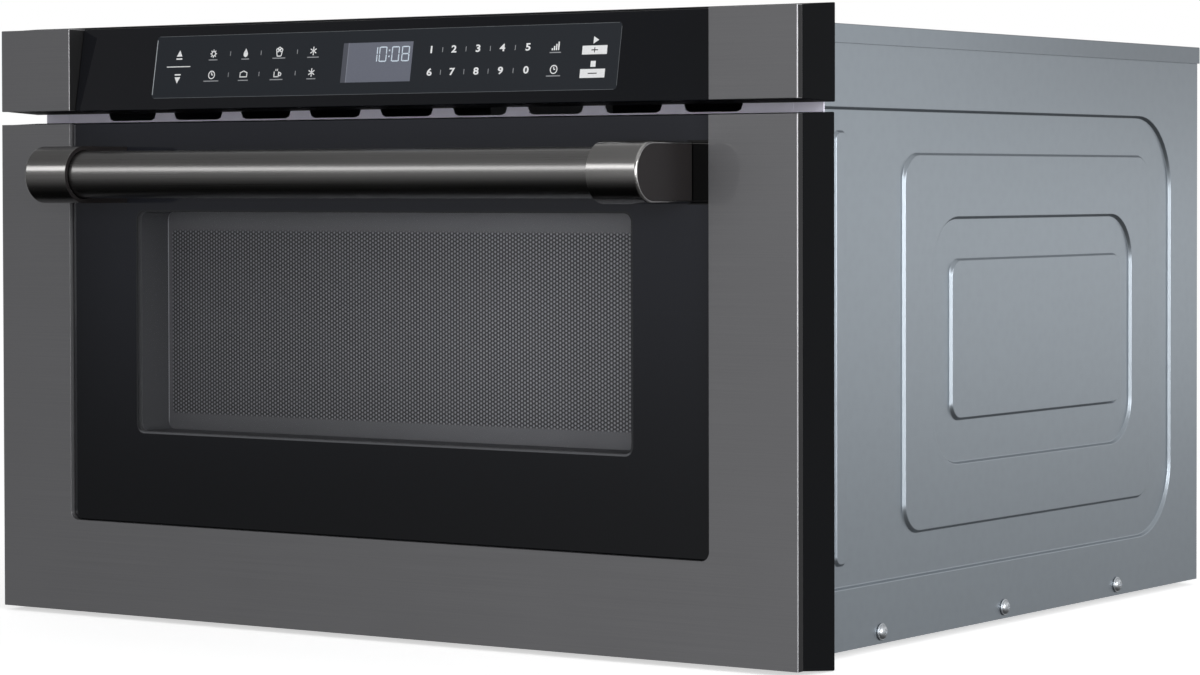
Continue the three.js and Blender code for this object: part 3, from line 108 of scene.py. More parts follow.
def add_block(name, low, high):
    clear_selection()
    size = [b - a for a, b in zip(low, high)]
    middle = [(a + b) / 2 for a, b in zip(low, high)]
    bpy.ops.mesh.primitive_cube_add(size=1, location=middle, scale=size)
    return name_piece(name)


def add_rod(name, axis, radius, start, end, across, sides):
    """A cylinder along X, Y or Z from start to end; across is its place on the other two."""
    clear_selection()
    middle = list(across)
    middle.insert("XYZ".index(axis), (start + end) / 2)
    turn = {"X": (0, math.pi / 2, 0), "Y": (math.pi / 2, 0, 0), "Z": (0, 0, 0)}[axis]
    bpy.ops.mesh.primitive_cylinder_add(
        vertices=sides, radius=radius, depth=end - start, location=middle, rotation=turn
    )
    return name_piece(name)


# %% Picking by place, and working on what is picked
exact, hair, close_by = 1e-6, 1e-5, 1e-4  # how near two places count as the same, in metres
over = 20 * mm  # how far a cutter reaches past what it cuts


def pick(piece, kind, passes):
    """Edit mode, with the points, edges or faces picked that pass the test."""
    take(piece)
    bpy.ops.object.mode_set(mode="EDIT")
    bpy.ops.mesh.select_mode(type=kind)
    bpy.ops.mesh.select_all(action="DESELECT")
    form = bmesh.from_edit_mesh(piece.data)
    if kind == "FACE":
        form.normal_update()
    for part in {"VERT": form.verts, "EDGE": form.edges, "FACE": form.faces}[kind]:
        part.select = bool(passes(part))
    form.select_flush_mode()
    bmesh.update_edit_mesh(piece.data)


def done():
    bpy.ops.object.mode_set(mode="OBJECT")


def move_points(piece, wanted, step):
    pick(piece, "VERT", lambda point: wanted(point.co))
    bpy.ops.transform.translate(value=step)
    done()


def scale_points(piece, wanted, factors, middle):
    pick(piece, "VERT", lambda point: wanted(point.co))
    bpy.ops.transform.resize(value=factors, center_override=middle)
    done()


def pick_faces(piece, wanted):
    """Picks the faces whose middle and normal pass the test."""
    pick(piece, "FACE", lambda face: wanted(face.calc_center_median(), face.normal))


def remove_faces(piece, wanted):
    pick_faces(piece, wanted)
    bpy.ops.mesh.delete(type="FACE")
    done()


def along(axis, also=None):
    """A test for edges that run along one axis only, and whose first end passes as well."""
    others = [i for i in range(3) if i != "XYZ".index(axis)]

    def passes(a, b):
        straight = all(abs(a[i] - b[i]) < exact for i in others)
        return straight and (also is None or also(a))

    return passes


def round_edges(piece, wanted, radius, steps=6):
    """Bevels the edges whose two ends pass the test."""
    pick(piece, "EDGE", lambda edge: wanted(edge.verts[0].co, edge.verts[1].co))
    bpy.ops.mesh.bevel(offset=radius, segments=steps, profile=0.5, affect="EDGES")
    done()
    return piece


# %% Cutting, joining and softening


def modify(piece, kind, **settings):
    """Adds a modifier with these settings and applies it."""
    take(piece)
    change = piece.modifiers.new(kind.lower(), kind)
    for key, value in settings.items():
        setattr(change, key, value)
    bpy.ops.object.modifier_apply(modifier=change.name)
    return piece


def combine(piece, tool, operation="DIFFERENCE"):
    modify(piece, "BOOLEAN", operation=operation, solver="EXACT", object=tool)
    bpy.data.objects.remove(tool)
    return piece


def bore(piece, axis, radius, start, end, across):
    """A round hole from start to end and a little past both."""
    combine(piece, add_rod("hole", axis, radius, start - over, end + over, across, 24))


def smooth(piece, angle=35):
    take(piece)
    bpy.ops.object.shade_smooth_by_angle(angle=math.radians(angle))
    return piece


def tidy_faces(piece):
    """Joins the flat triangles that a cut leaves into whole faces."""
    take(piece)
    bpy.ops.object.mode_set(mode="EDIT")
    bpy.ops.mesh.select_all(action="SELECT")
    bpy.ops.mesh.remove_doubles(threshold=2e-6)
    bpy.ops.mesh.dissolve_limited(angle_limit=math.radians(0.4))
    done()
    return piece


def soften(piece, width, steps=3, angle=30):
    """Rounds every sharp edge a little, as a press, a mould or a polishing wheel leaves it."""
    sharp = {"limit_method": "ANGLE", "angle_limit": math.radians(angle)}
    modify(piece, "BEVEL", width=width, segments=steps, **sharp)
    return smooth(piece)


def give_wall(piece, thickness):
    return modify(piece, "SOLIDIFY", thickness=thickness, offset=-1, use_even_offset=True)


def joined(name, pieces):
    clear_selection()
    for piece in pieces:
        piece.select_set(True)
    bpy.context.view_layer.objects.active = pieces[0]
    bpy.ops.object.join()
    return name_piece(name)


# %% Copies, finishes and places


def copied(piece, name):
    copy = piece.copy()
    copy.data = piece.data.copy()
    copy.name = copy.data.name = name
    bpy.context.scene.collection.objects.link(copy)
    return copy


def mirrored(piece, name):
    """The same piece on the other side of the middle plane, with its faces turned back out."""
    copy = take(copied(piece, name))
    bpy.ops.object.mode_set(mode="EDIT")
    bpy.ops.mesh.select_all(action="SELECT")
    bpy.ops.transform.resize(value=(-1, 1, 1), center_override=(0, 0, 0))
    bpy.ops.mesh.flip_normals()
    done()
    return copy


def fine_copy(node, width):
    """A copy of a measured node with whole faces and softened edges, to stand in its place."""
    piece = copied(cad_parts[node], "fine_" + node)
    for key in list(piece.keys()):
        del piece[key]
    piece.parent = None
    tidy_faces(piece)
    return soften(piece, width, 2)


def dress(piece, *looks):
    """Gives the piece these finishes; its faces have the first until they are told otherwise."""
    piece.data.materials.clear()
    for look in looks:
        piece.data.materials.append(look)
    return piece


def second_look(piece, wanted):
    """Gives the faces that pass the test the second of the piece's finishes."""
    for face in piece.data.polygons:
        if wanted(face):
            face.material_index = 1


def place(piece, body, slot, *nodes):
    """The piece rides on a body and stands for the nodes it replaces; slot is not used.

    Weighted normals let its large flat faces decide the shading, so that a rounded edge
    doesn't tint them.
    """
    modify(piece, "WEIGHTED_NORMAL", keep_sharp=True)
    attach(piece, body)
    if nodes:
        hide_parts(*nodes)


def place_pair(piece, name, body, slot, node=None):
    """Places a right-hand piece and its mirror image; node is what their nodes' names share."""
    left = mirrored(piece, name + "_left")
    piece.name = name + "_right"
    for one, side in ((piece, "_right"), (left, "_left")):
        place(one, body, slot, *([node + side] if node else []))
    return piece, left


# %% [markdown]
# ## Writing materials as sums
# A finish is a small graph of nodes. To keep it readable, one class stands for a socket and
# knows ordinary arithmetic, so that `0.3 + 0.1 * grain` adds the Math nodes by itself. Colours
# go through Mix nodes, because a Math node would turn them grey.

# %% A socket with arithmetic


def maths(operation, swapped=False):
    """A method that adds the Math node of one operation; swapped, its own value comes last."""

    def method(self, *others):
        values = (*others, self) if swapped else (self, *others)
        settings = {"operation": operation}
        made = self.finish.node("ShaderNodeMath", settings, dict(enumerate(values)))
        return Signal(self.finish, made.outputs[0])

    return method


class Signal:
    def __init__(self, finish, socket):
        self.finish = finish
        self.socket = socket

    __add__, __radd__ = maths("ADD"), maths("ADD", swapped=True)
    __sub__, __rsub__ = maths("SUBTRACT"), maths("SUBTRACT", swapped=True)
    __mul__, __rmul__ = maths("MULTIPLY"), maths("MULTIPLY", swapped=True)
    __truediv__, __pow__, __lt__ = maths("DIVIDE"), maths("POWER"), maths("LESS_THAN")
    least, most = maths("MINIMUM"), maths("MAXIMUM")
    size, root, wave = maths("ABSOLUTE"), maths("SQRT"), maths("SINE")
    part = maths("FRACT")  # what is left after the whole number: it repeats from 0 to 1

    def ramp(self, start, end, low=0.0, high=1.0):
        """From low at start to high at end, with soft ends."""
        made = self.finish.node(
            "ShaderNodeMapRange",
            {"interpolation_type": "SMOOTHSTEP"},
            {0: self, 1: start, 2: end, 3: low, 4: high},
        )
        return Signal(self.finish, made.outputs[0])


# %% A graph of nodes, for a material or for the world


class Graph:
    def __init__(self, owner, output, coordinates):
        owner.use_nodes = True
        self.tree = owner.node_tree
        self.tree.nodes.clear()
        self.output = self.node(output)
        self.coordinates = self.node("ShaderNodeTexCoord").outputs[coordinates]
        split = self.node("ShaderNodeSeparateXYZ", inputs={0: self.coordinates})
        self.x, self.y, self.z = (Signal(self, socket) for socket in split.outputs)

    def node(self, kind, settings=None, inputs=None):
        made = self.tree.nodes.new(kind)
        for key, value in (settings or {}).items():
            setattr(made, key, value)
        for key, value in (inputs or {}).items():
            self.feed(made.inputs[key], value)
        return made

    def feed(self, socket, value):
        if isinstance(value, Signal):
            self.tree.links.new(value.socket, socket)
        elif isinstance(value, bpy.types.NodeSocket):
            self.tree.links.new(value, socket)
        elif isinstance(value, tuple) and len(value) == 3 and socket.type == "RGBA":
            socket.default_value = (*value, 1)
        else:
            socket.default_value = value

    def ray(self, kind):
        """1 for rays of that kind, 0 for the others."""
        return Signal(self, self.node("ShaderNodeLightPath").outputs[kind])


# %% A finish: one material with patterns


class Finish(Graph):
    def __init__(self, name):
        self.material = bpy.data.materials.new(name)
        super().__init__(self.material, "ShaderNodeOutputMaterial", "Object")

    def stretched(self, x, y, z):
        """Object coordinates times a number on each axis."""
        values = {0: self.coordinates, 1: (x, y, z)}
        return self.node("ShaderNodeVectorMath", {"operation": "MULTIPLY"}, values).outputs[0]

    def noise(self, scale, detail=3.0, roughness=0.55, at=None):
        values = {"Scale": scale, "Detail": detail, "Roughness": roughness}
        values["Vector"] = at or self.coordinates
        return Signal(self, self.node("ShaderNodeTexNoise", None, values).outputs["Fac"])

    def cells(self, scale, feature="F1", at=None):
        values = {"Vector": at or self.coordinates, "Scale": scale}
        made = self.node("ShaderNodeTexVoronoi", {"feature": feature}, values)
        return Signal(self, made.outputs["Distance"])

    def mix(self, first, second, share):
        """One colour into another."""
        values = {0: share, 6: first, 7: second}
        return self.node("ShaderNodeMix", {"data_type": "RGBA"}, values).outputs[2]

    def bump(self, height, depth, strength=1.0):
        values = {"Height": height, "Distance": depth, "Strength": strength}
        return self.node("ShaderNodeBump", None, values).outputs["Normal"]

    def surface(self, **values):
        """A Principled shader; base_color stands for its Base Color, and so on."""
        named = {
            key.replace("_", " ").title().replace("Ior", "IOR"): value
            for key, value in values.items()
        }
        return self.node("ShaderNodeBsdfPrincipled", None, named).outputs[0]

    def close(self, shader):
        self.feed(self.output.inputs["Surface"], shader)
        return self.material

    def painted(self, **values):
        """The whole material, when it is one Principled shader."""
        return self.close(self.surface(**values))


def times(colour, factor):
    """A darker or lighter tone of a colour."""
    return tuple(factor * c for c in colour)


# %% [markdown]
# ## Dark stainless steel
# The front is stainless steel under a thin clear coat. Rolling and belt polishing leave fine
# lines along X, each a fraction of a millimetre high and some centimetres long, so a noise
# stretched along X drives the colour, the roughness and a very shallow bump. The metal spreads
# the light and the coat mirrors a little of it sharply, which is why the handle's bracket shows
# as a faint, clear image on the strip beside it.

# %% Dark stainless steel


def dark_steel(name, shade=0.34, rough=0.48, coat=1.0, tint=(0.985, 0.985, 1.03)):
    finish = Finish(name)
    lines = finish.noise(1.0, 4.0, 0.65, finish.stretched(7, 1300, 1300))
    clouds = finish.noise(9.0, 2.0)
    dark, light = times(tint, 0.82 * shade), times(tint, 1.18 * shade)
    return finish.painted(
        base_color=finish.mix(dark, light, 0.75 * lines + 0.25 * clouds),
        metallic=1.0,
        roughness=rough + 0.12 * (lines - 0.5) + 0.04 * clouds,
        coat_weight=coat - 0.2 * clouds,
        coat_roughness=0.06,
        normal=finish.bump(lines, 0.00002, 0.4),
    )


front_steel = dark_steel("dark_stainless_front")
# A far darker copy of the front steel: painted shade for the flat folded sides.
shaded_fold_steel = dark_steel("dark_stainless_painted_shade", shade=0.045, rough=0.6, coat=0.2)
bar_steel = dark_steel("dark_stainless_handle", 0.26, 0.27, 0.4, (1.0, 0.985, 0.975))
bracket_steel = dark_steel("dark_stainless_bracket", 0.36, 0.2, 0.3, (1.0, 0.985, 0.97))
print("dark steel finishes:", front_steel.name, bar_steel.name, bracket_steel.name)

# %% [markdown]
# ## Galvanised sheet
# The case is zinc-coated steel sheet. Close up the zinc has a soft, cloudy crystal pattern,
# and the sheet is a cool grey. Voronoi cells give the crystals, a fine noise the rolling marks.
# The side is darker towards its upper rear corner, and so are the lips of the cover towards the
# rear: both are painted shade.

# %% Galvanised sheet


def zinc_sheet(name, tint=(0.33, 0.37, 0.41), rough=0.3, contrast=0.05, metal=0.95, painted_shade=None):
    finish = Finish(name)
    flakes = finish.cells(150.0)
    rolled = finish.noise(1.0, 3.0, 0.6, finish.stretched(900, 9, 900))
    clouds = finish.noise(4.0, 3.0)
    share = 0.3 * flakes.ramp(0.0, 0.9) + 0.45 * rolled + 0.25 * clouds
    dark, light = times(tint, 1 - contrast), times(tint, 1 + contrast)
    colour = finish.mix(dark, light, share)
    # Painted shade: the mask darkens the colour towards black.
    if painted_shade:
        colour = finish.mix(colour, (0.0, 0.0, 0.0), painted_shade(finish))
    return finish.painted(
        base_color=colour,
        metallic=metal,
        roughness=rough + 0.06 * rolled + 0.04 * clouds,
        normal=finish.bump(rolled, 0.000012, 0.4),
    )


def painted_shade_upper_rear(finish):
    """Painted shade: the side's upper rear corner is darker than the rest of it."""
    rear = finish.y.ramp(-270 * mm, 210 * mm, 0.1, 0.3)
    return finish.z.ramp(230 * mm, 370 * mm) * rear


def painted_shade_lips(finish):
    """Painted shade: the cover's folded lips are darker than its top, more so towards the rear."""
    rear = finish.y.ramp(-270 * mm, 210 * mm, 0.03, 0.36)
    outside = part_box("top_cover")[1].x
    return finish.x.size().ramp(outside - 1.6 * mm, outside - 0.8 * mm) * rear


case_sheet = zinc_sheet("galvanised_case")
side_zinc = zinc_sheet("galvanised_side", tint=(0.315, 0.353, 0.391), painted_shade=painted_shade_upper_rear)
inner_sheet = zinc_sheet("galvanised_inner", tint=(0.42, 0.43, 0.46), rough=0.36, contrast=0.1)
lid_sheet = zinc_sheet("galvanised_cover", tint=(0.285, 0.32, 0.355), painted_shade=painted_shade_lips)
# Painted light: the front flanges and the front plate lie in the shaded slit, so their sheet is
# far paler and less metallic than the case.
painted_light_sheet = zinc_sheet("galvanised_painted_light", tint=(0.82, 0.8, 0.93), rough=0.42, metal=0.2)
print("zinc finishes:", case_sheet.name, inner_sheet.name, lid_sheet.name)

# %% [markdown]
# ## Black glass
# The door and the control strip are float glass printed black on the back. The gloss comes from
# the shader; a broad, faint noise in the roughness stands for wiped-off fingerprints. In the door
# the print stops round the window, where the glass is only smoked, so a mask in X and Z drives the
# alpha there. A fine line shows the print's edge, and it is paler along the window's foot as a
# painted highlight. The room shows in the print as painted reflections: the door's ink is paler
# towards its top and black beside the foot of the right bracket, where it stands for the bracket's
# mirror image, and the control strip's ink is paler on the left.

# %% Rounded masks


def rounded_mask(finish, low_x, high_x, low_z, high_z, corner, blur):
    """1 inside a rounded rectangle in X and Z, 0 outside, with a soft edge."""
    middle_x, half_x = (low_x + high_x) / 2, (high_x - low_x) / 2
    middle_z, half_z = (low_z + high_z) / 2, (high_z - low_z) / 2
    across = ((finish.x - middle_x).size() - (half_x - corner)).most(0.0)
    up = ((finish.z - middle_z).size() - (half_z - corner)).most(0.0)
    reach = (across * across + up * up).root()
    return reach.ramp(corner + blur, corner - blur)


liner_low, liner_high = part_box("window_liner")
liner_wall = 2 * mm
window = (
    liner_low.x + liner_wall,
    liner_high.x - liner_wall,
    liner_low.z + liner_wall,
    liner_high.z - liner_wall,
)
print_foot = window[2] + 1.6 * mm  # in the photograph the print's lower edge is this high
print("window, mm:", [round(v * 1000, 1) for v in window])

# %% Finish of the door glass


def door_glass_finish():
    finish = Finish("black_door_glass")
    smears = finish.noise(14.0, 4.0)

    def wider(margin, corner):
        """The window in the print, wider by a margin on every side."""
        sides = (window[0] - margin, window[1] + margin, print_foot - margin, window[3] + margin)
        return rounded_mask(finish, *sides, corner, 0.25 * mm)

    clear = wider(0, 5 * mm)
    rim = wider(1.2 * mm, 6 * mm) * (1 - clear)

    # The pane's rear face is clear further out, so that no dark slit shows beside the window
    glass_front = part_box("door_glass")[0].y
    back = finish.y.ramp(glass_front + 2 * mm, glass_front + 3 * mm)
    open_part = clear.most(back * wider(10 * mm, 12 * mm))
    # Painted reflection: the ink is paler towards the top and darker at the far left.
    height = finish.z.ramp(50 * mm, 300 * mm) * finish.x.ramp(-265 * mm, -190 * mm, 0.4, 1.0)
    painted_light_print = finish.mix((0.001, 0.0014, 0.0026), (0.015, 0.0163, 0.0215), height)
    # Painted reflection: a black patch beside the right bracket's foot stands for the bracket's
    # mirror image in the glass.
    foot_low, foot_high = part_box("handle_bracket_right")
    reflection_x = (foot_high.x - 4 * mm, foot_high.x + 40 * mm)
    reflection_z = (foot_low.z - 0.5 * mm, foot_high.z + 0.5 * mm)
    foot = rounded_mask(finish, *reflection_x, *reflection_z, 1 * mm, 0.4 * mm)
    painted_light_print = finish.mix(painted_light_print, (0.001, 0.001, 0.0012), foot)
    # Painted highlight: the rim line is paler along the window's foot.
    lit_edge = finish.z.ramp(print_foot - 0.4 * mm, print_foot + 2 * mm)
    edge_ink_and_highlight = finish.mix((0.085, 0.087, 0.094), (0.018, 0.019, 0.021), lit_edge)
    return finish.painted(
        base_color=finish.mix(painted_light_print, edge_ink_and_highlight, rim),
        roughness=0.045 + 0.04 * smears.ramp(0.45, 0.75),
        alpha=1 - 0.88 * open_part,
        specular_ior_level=0.4,
        normal=finish.bump(finish.noise(3.0, 1.0), 0.0004, 0.05),
    )


door_glass_look = door_glass_finish()

# %% Finish of the control glass
touch_zone = (-178.1, 175.2, 325.2, 364.1)  # left, right, bottom and top, in millimetres


def control_glass_finish():
    finish = Finish("black_control_glass")
    smears = finish.noise(18.0, 4.0)
    grey_zone = rounded_mask(finish, *times(touch_zone, mm), 2.0 * mm, 0.15 * mm)
    # Painted reflection: the plain ink is paler towards the left.
    across = finish.x.ramp(-280 * mm, 280 * mm)
    painted_light_ink = finish.mix((0.0082, 0.0087, 0.0108), (0.0012, 0.0018, 0.0036), across)
    ink = finish.mix(painted_light_ink, (0.0165, 0.0195, 0.0245), grey_zone)
    return finish.painted(
        base_color=ink,
        roughness=0.05 + 0.04 * smears.ramp(0.45, 0.75),
        specular_ior_level=0.35,
    )


control_glass_look = control_glass_finish()
print("glass finishes:", door_glass_look.name, control_glass_look.name)

# %% [markdown]
# ## Mouldings and small parts
# Black and grey plastics have a fine spark-eroded grain and little gloss. Zinc plating is
# brighter than the sheet, nylon is milky, and the ceramic plate is an opaque white glass with
# fine grey specks. One helper makes the plastics, with the grain's size and the gloss to choose.

# %% Plastics


def moulded(name, colour, rough=0.5, grain=1400.0, speck=0.08, shine=0.4):
    finish = Finish(name)
    pebbles = finish.noise(grain, 2.0, 0.6)
    clouds = finish.noise(12.0, 3.0)
    dark, light = times(colour, 1 - speck), times(colour, 1 + speck)
    return finish.painted(
        base_color=finish.mix(dark, light, 0.5 * pebbles + 0.5 * clouds),
        roughness=rough + 0.12 * (pebbles - 0.5) + 0.05 * clouds,
        specular_ior_level=shine,
        normal=finish.bump(pebbles, 0.00004, 0.6),
    )


black_plastic = moulded("black_moulding", (0.0042, 0.0046, 0.0054), rough=0.55, shine=0.04)
bracket_end = moulded(
    "bracket_end_black", (0.0092, 0.008, 0.0082), rough=0.4, grain=2200.0, shine=0.15
)
grey_plastic = moulded("grey_moulding", (0.085, 0.088, 0.094))
liner_plastic = moulded("window_liner_grey", (0.066, 0.068, 0.074), rough=0.55)
# Painted light: a paler grey for the liner flange's front faces, which little light reaches.
painted_light_flange_plastic = moulded("grey_moulding_painted_light", (0.13, 0.133, 0.141))
white_plastic = moulded("white_moulding", (0.66, 0.65, 0.61), rough=0.4)
natural_nylon = moulded("natural_nylon", (0.7, 0.67, 0.58), rough=0.38, speck=0.05)
choke_plastic = moulded("choke_cover_grey", (0.05, 0.051, 0.054), rough=0.48)
print("plastics made")

# %% Plated steel, and cavity steel


def plated(name, colour, rough=0.24, crystals=520.0):
    finish = Finish(name)
    flakes = finish.cells(crystals)
    scuffs = finish.noise(1.0, 3.0, 0.7, finish.stretched(700, 40, 700))
    share = 0.5 * flakes.ramp(0, 0.8) + 0.5 * scuffs
    return finish.painted(
        base_color=finish.mix(times(colour, 0.86), colour, share),
        metallic=1.0,
        roughness=rough + 0.12 * scuffs,
        normal=finish.bump(scuffs, 0.00002, 0.6),
    )


bright_zinc = plated("bright_zinc_plate", (0.66, 0.68, 0.7))
screw_zinc = plated("screw_zinc_plate", (0.6, 0.63, 0.66), rough=0.32)
slide_zinc = plated("slide_zinc_plate", (0.56, 0.575, 0.6), rough=0.3, crystals=260.0)
cavity_steel = plated("cavity_stainless", (0.5, 0.505, 0.51), rough=0.28, crystals=60.0)
magnet_steel = plated("magnetron_steel", (0.42, 0.43, 0.45), rough=0.35)
print("plated finishes made")

# %% Ceramic plate and mica cover


def ceramic_finish():
    finish = Finish("white_glass_ceramic")
    specks = finish.cells(900.0).ramp(0.12, 0.2)
    clouds = finish.noise(7.0, 3.0)
    body = finish.mix((0.78, 0.77, 0.74), (0.84, 0.83, 0.8), clouds)
    return finish.painted(
        base_color=finish.mix((0.55, 0.54, 0.51), body, specks),
        roughness=0.14 + 0.12 * clouds,
        coat_weight=0.3 + 0.2 * clouds,
        normal=finish.bump(finish.noise(60.0, 2.0), 0.00006, 0.3),
    )


def mica_finish():
    finish = Finish("stirrer_cover_mica")
    flakes = finish.cells(160.0, "F1", finish.stretched(1, 0.35, 1))
    layers = finish.noise(30.0, 4.0)
    share = 0.5 * flakes + 0.5 * layers
    return finish.painted(
        base_color=finish.mix((0.44, 0.36, 0.22), (0.66, 0.58, 0.4), share),
        roughness=0.38 + 0.2 * layers,
        normal=finish.bump(flakes, 0.0001, 0.4),
    )


ceramic_look = ceramic_finish()
mica_look = mica_finish()

# %% [markdown]
# ## Perforated screen
# Behind the window a grey sheet with small holes keeps the microwaves in. The holes stand in
# upright columns 2.15 mm apart, 2.42 mm from one to the next, and every second column is half a
# step lower, which makes a honeycomb. Two grids of cells, one shifted by half, give the distance
# to the nearest hole. The lining behind is paler than the sheet, so the holes read as light dots.
# A plain band is left along every edge, and the whole sheet darkens to the left as painted shade.

# %% Perforated screen


def screen_finish():
    finish = Finish("perforated_screen")
    step_x, step_z, hole = 4.3 * mm, 2.42 * mm, 0.72 * mm

    def from_hole(shift):
        across = ((finish.x / step_x + shift).part() - 0.5) * step_x
        up = ((finish.z / step_z + shift).part() - 0.5) * step_z
        return (across * across + up * up).root()

    reach = from_hole(0.25).least(from_hole(0.75))
    holes = reach.ramp(hole + 0.25 * mm, hole - 0.25 * mm)
    side_band, top_band = 3.2 * mm, 12 * mm
    field_x = (window[0] + side_band, window[1] - side_band)
    field_z = (window[2] + top_band, window[3] - top_band)
    field = rounded_mask(finish, *field_x, *field_z, 3 * mm, 1.2 * mm)
    clouds = finish.noise(6.0, 3.0)
    plain = finish.mix((0.21, 0.213, 0.23), (0.24, 0.244, 0.265), clouds)
    between = finish.mix((0.068, 0.07, 0.078), (0.088, 0.09, 0.099), clouds)
    dots = finish.mix(between, (0.46, 0.468, 0.5), holes)
    # Painted shade: the sheet darkens towards the left.
    lit = finish.x.ramp(window[0], window[1], 0.56, 1.0)
    return finish.painted(
        base_color=finish.mix((0.0, 0.0, 0.0), finish.mix(plain, dots, field), lit),
        roughness=0.5 + 0.1 * clouds,
        normal=finish.bump(1 - holes * field, 0.0003, 0.6),
    )


screen_look = screen_finish()

# %% [markdown]
# ## Parts inside
# The transformer is a stack of laminations round a copper winding, the boards are green with
# paler tracks, and the display is a grey-blue panel behind the glass. Little of them shows from
# outside, but each has the pattern of the real thing.

# %% Laminations and windings


def transformer_finish():
    finish = Finish("transformer_core_and_coil")
    low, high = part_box("power_transformer")
    coil = ((finish.y - low.y) < 9.2 * mm).most((high.y - finish.y) < 9.2 * mm)
    sheets = (finish.y * 2000.0 * math.pi).wave()
    turns = (finish.z * 900.0 * math.pi).wave()
    core = finish.mix((0.05, 0.05, 0.055), (0.16, 0.16, 0.165), sheets * 0.5 + 0.5)
    wire = finish.mix((0.16, 0.045, 0.012), (0.48, 0.17, 0.06), turns * 0.5 + 0.5)
    return finish.painted(
        base_color=finish.mix(core, wire, coil),
        metallic=0.75,
        roughness=0.42 + 0.12 * finish.noise(200.0),
        normal=finish.bump(sheets * (1 - coil) + turns * coil, 0.0002, 0.5),
    )


def motor_finish():
    finish = Finish("motor_core_and_coil")
    sheets = (finish.y * 1600.0 * math.pi).wave()
    patches = finish.noise(60.0, 2.0)
    core = finish.mix((0.14, 0.14, 0.145), (0.34, 0.34, 0.35), sheets * 0.5 + 0.5)
    return finish.painted(
        base_color=finish.mix(core, (0.4, 0.14, 0.05), patches.ramp(0.55, 0.6)),
        metallic=0.8,
        roughness=0.36 + 0.15 * patches,
        normal=finish.bump(sheets, 0.0002, 0.5),
    )


transformer_look = transformer_finish()
motor_look = motor_finish()

# %% Circuit boards


def board_finish():
    finish = Finish("circuit_board_green")
    tracks = finish.cells(260.0, "DISTANCE_TO_EDGE")
    pads = finish.cells(420.0)
    green = finish.mix((0.006, 0.055, 0.024), (0.02, 0.125, 0.055), tracks.ramp(0.06, 0.02))
    return finish.painted(
        base_color=finish.mix(green, (0.55, 0.5, 0.36), pads.ramp(0.12, 0.08)),
        roughness=0.32 + 0.2 * pads,
        normal=finish.bump(tracks.ramp(0.06, 0.02), 0.0001, 0.5),
    )


board_look = board_finish()
component_look = moulded("board_components", (0.035, 0.036, 0.04), rough=0.42, grain=2600.0)


def colour_components(node, axis):
    """What stands on a board isn't green: it begins above the upper of its two largest flats."""
    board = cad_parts[node]
    board.data.materials.append(component_look)
    areas = {}
    for face in board.data.polygons:
        if abs(face.normal[axis]) > 0.99:
            level = round(face.center[axis], 5)
            areas[level] = areas.get(level, 0) + face.area
    top = max(sorted(areas, key=areas.get)[-2:])
    second_look(board, lambda face: face.center[axis] > top + hair)


# %% Display panel


def display_finish():
    finish = Finish("display_panel_grey_blue")
    low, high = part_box("display_module")
    edge = finish.x.ramp(low.x + 5.0 * mm, low.x + 5.3 * mm)
    line = (finish.x - low.x - 5.4 * mm).size().ramp(0.35 * mm, 0.15 * mm)
    fine = finish.noise(900.0, 2.0)
    panel = finish.mix((0.125, 0.135, 0.17), (0.145, 0.155, 0.195), fine)
    dimmed = finish.mix((0.075, 0.08, 0.1), panel, edge)
    return finish.painted(
        base_color=finish.mix(dimmed, (0.22, 0.235, 0.28), line),
        roughness=0.32 + 0.1 * fine,
    )


display_look = display_finish()
print("inner finishes made")

# %% [markdown]
# ## Printed marks
# The key marks are opaque ink with a slightly uneven screen print, white for the signs and grey
# for dashes and separators. The display's digits are pale and bluish.

# %% Inks


def ink(name, colour):
    finish = Finish(name)
    mesh_marks = finish.noise(2600.0, 1.0)
    return finish.painted(
        base_color=finish.mix(times(colour, 0.9), colour, mesh_marks.ramp(0.3, 0.6)),
        roughness=0.45 + 0.1 * mesh_marks,
    )


white_ink = ink("white_key_ink", (0.8, 0.81, 0.82))
dim_ink = ink("grey_key_ink", (0.3, 0.31, 0.33))
dark_ink = ink("dark_key_ink", (0.02, 0.02, 0.022))
faint_ink = ink("faint_line_ink", (0.12, 0.13, 0.14))
line_ink = ink("zone_line_ink", (0.34, 0.36, 0.38))
digit_ink = ink("display_digit_pale", (0.62, 0.71, 0.8))

# %% [markdown]
# ## The door's steel frame
# The stainless skin is a U: two upright strips and a bottom strip, folded back at the outside
# and turned in against the glass. Folding leaves the outer upright edges with a radius of about
# 0.8 mm, which is the bright line down the corner. A block is rounded there, opened for the
# glass with a cutter that has the glass's own corners, and hollowed from behind.

# %% The folded sides get a painted shade


def paint_shade_on_folds(piece, *levels):
    """Gives flat sides at these distances from the middle a far darker copy of the steel, as
    painted shade.
    """
    piece.data.materials.append(shaded_fold_steel)

    def folded(face):
        near = min(abs(abs(face.center.x) - level) for level in levels)
        return abs(face.normal.x) > 0.99 and near < close_by

    second_look(piece, folded)


# %% Door frame sizes
frame_low, frame_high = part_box("door_frame")
glass_low, glass_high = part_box("door_glass")
skin_front = frame_low.y
skin = 1.2 * mm
fold = 5.3 * mm
outer_round = 0.8 * mm
glass_clear = 0.5 * mm
opening_x = glass_high.x + glass_clear
opening_z = glass_low.z - glass_clear
opening_corner = 5.5 * mm
opening_top = 400 * mm
print("opening half width, mm:", round(opening_x * 1000, 2))

# %% A cutter with the glass's corners


def glass_cutter(name, grow, front, back, top=opening_top):
    foot = opening_z - grow
    cutter = add_block(name, (-opening_x - grow, front, foot), (opening_x + grow, back, top))
    lower_corners = along("Y", lambda a: abs(a.z - foot) < hair)
    return round_edges(cutter, lower_corners, opening_corner + grow, 10)


def at_front(a):
    return abs(a.y - skin_front) < hair


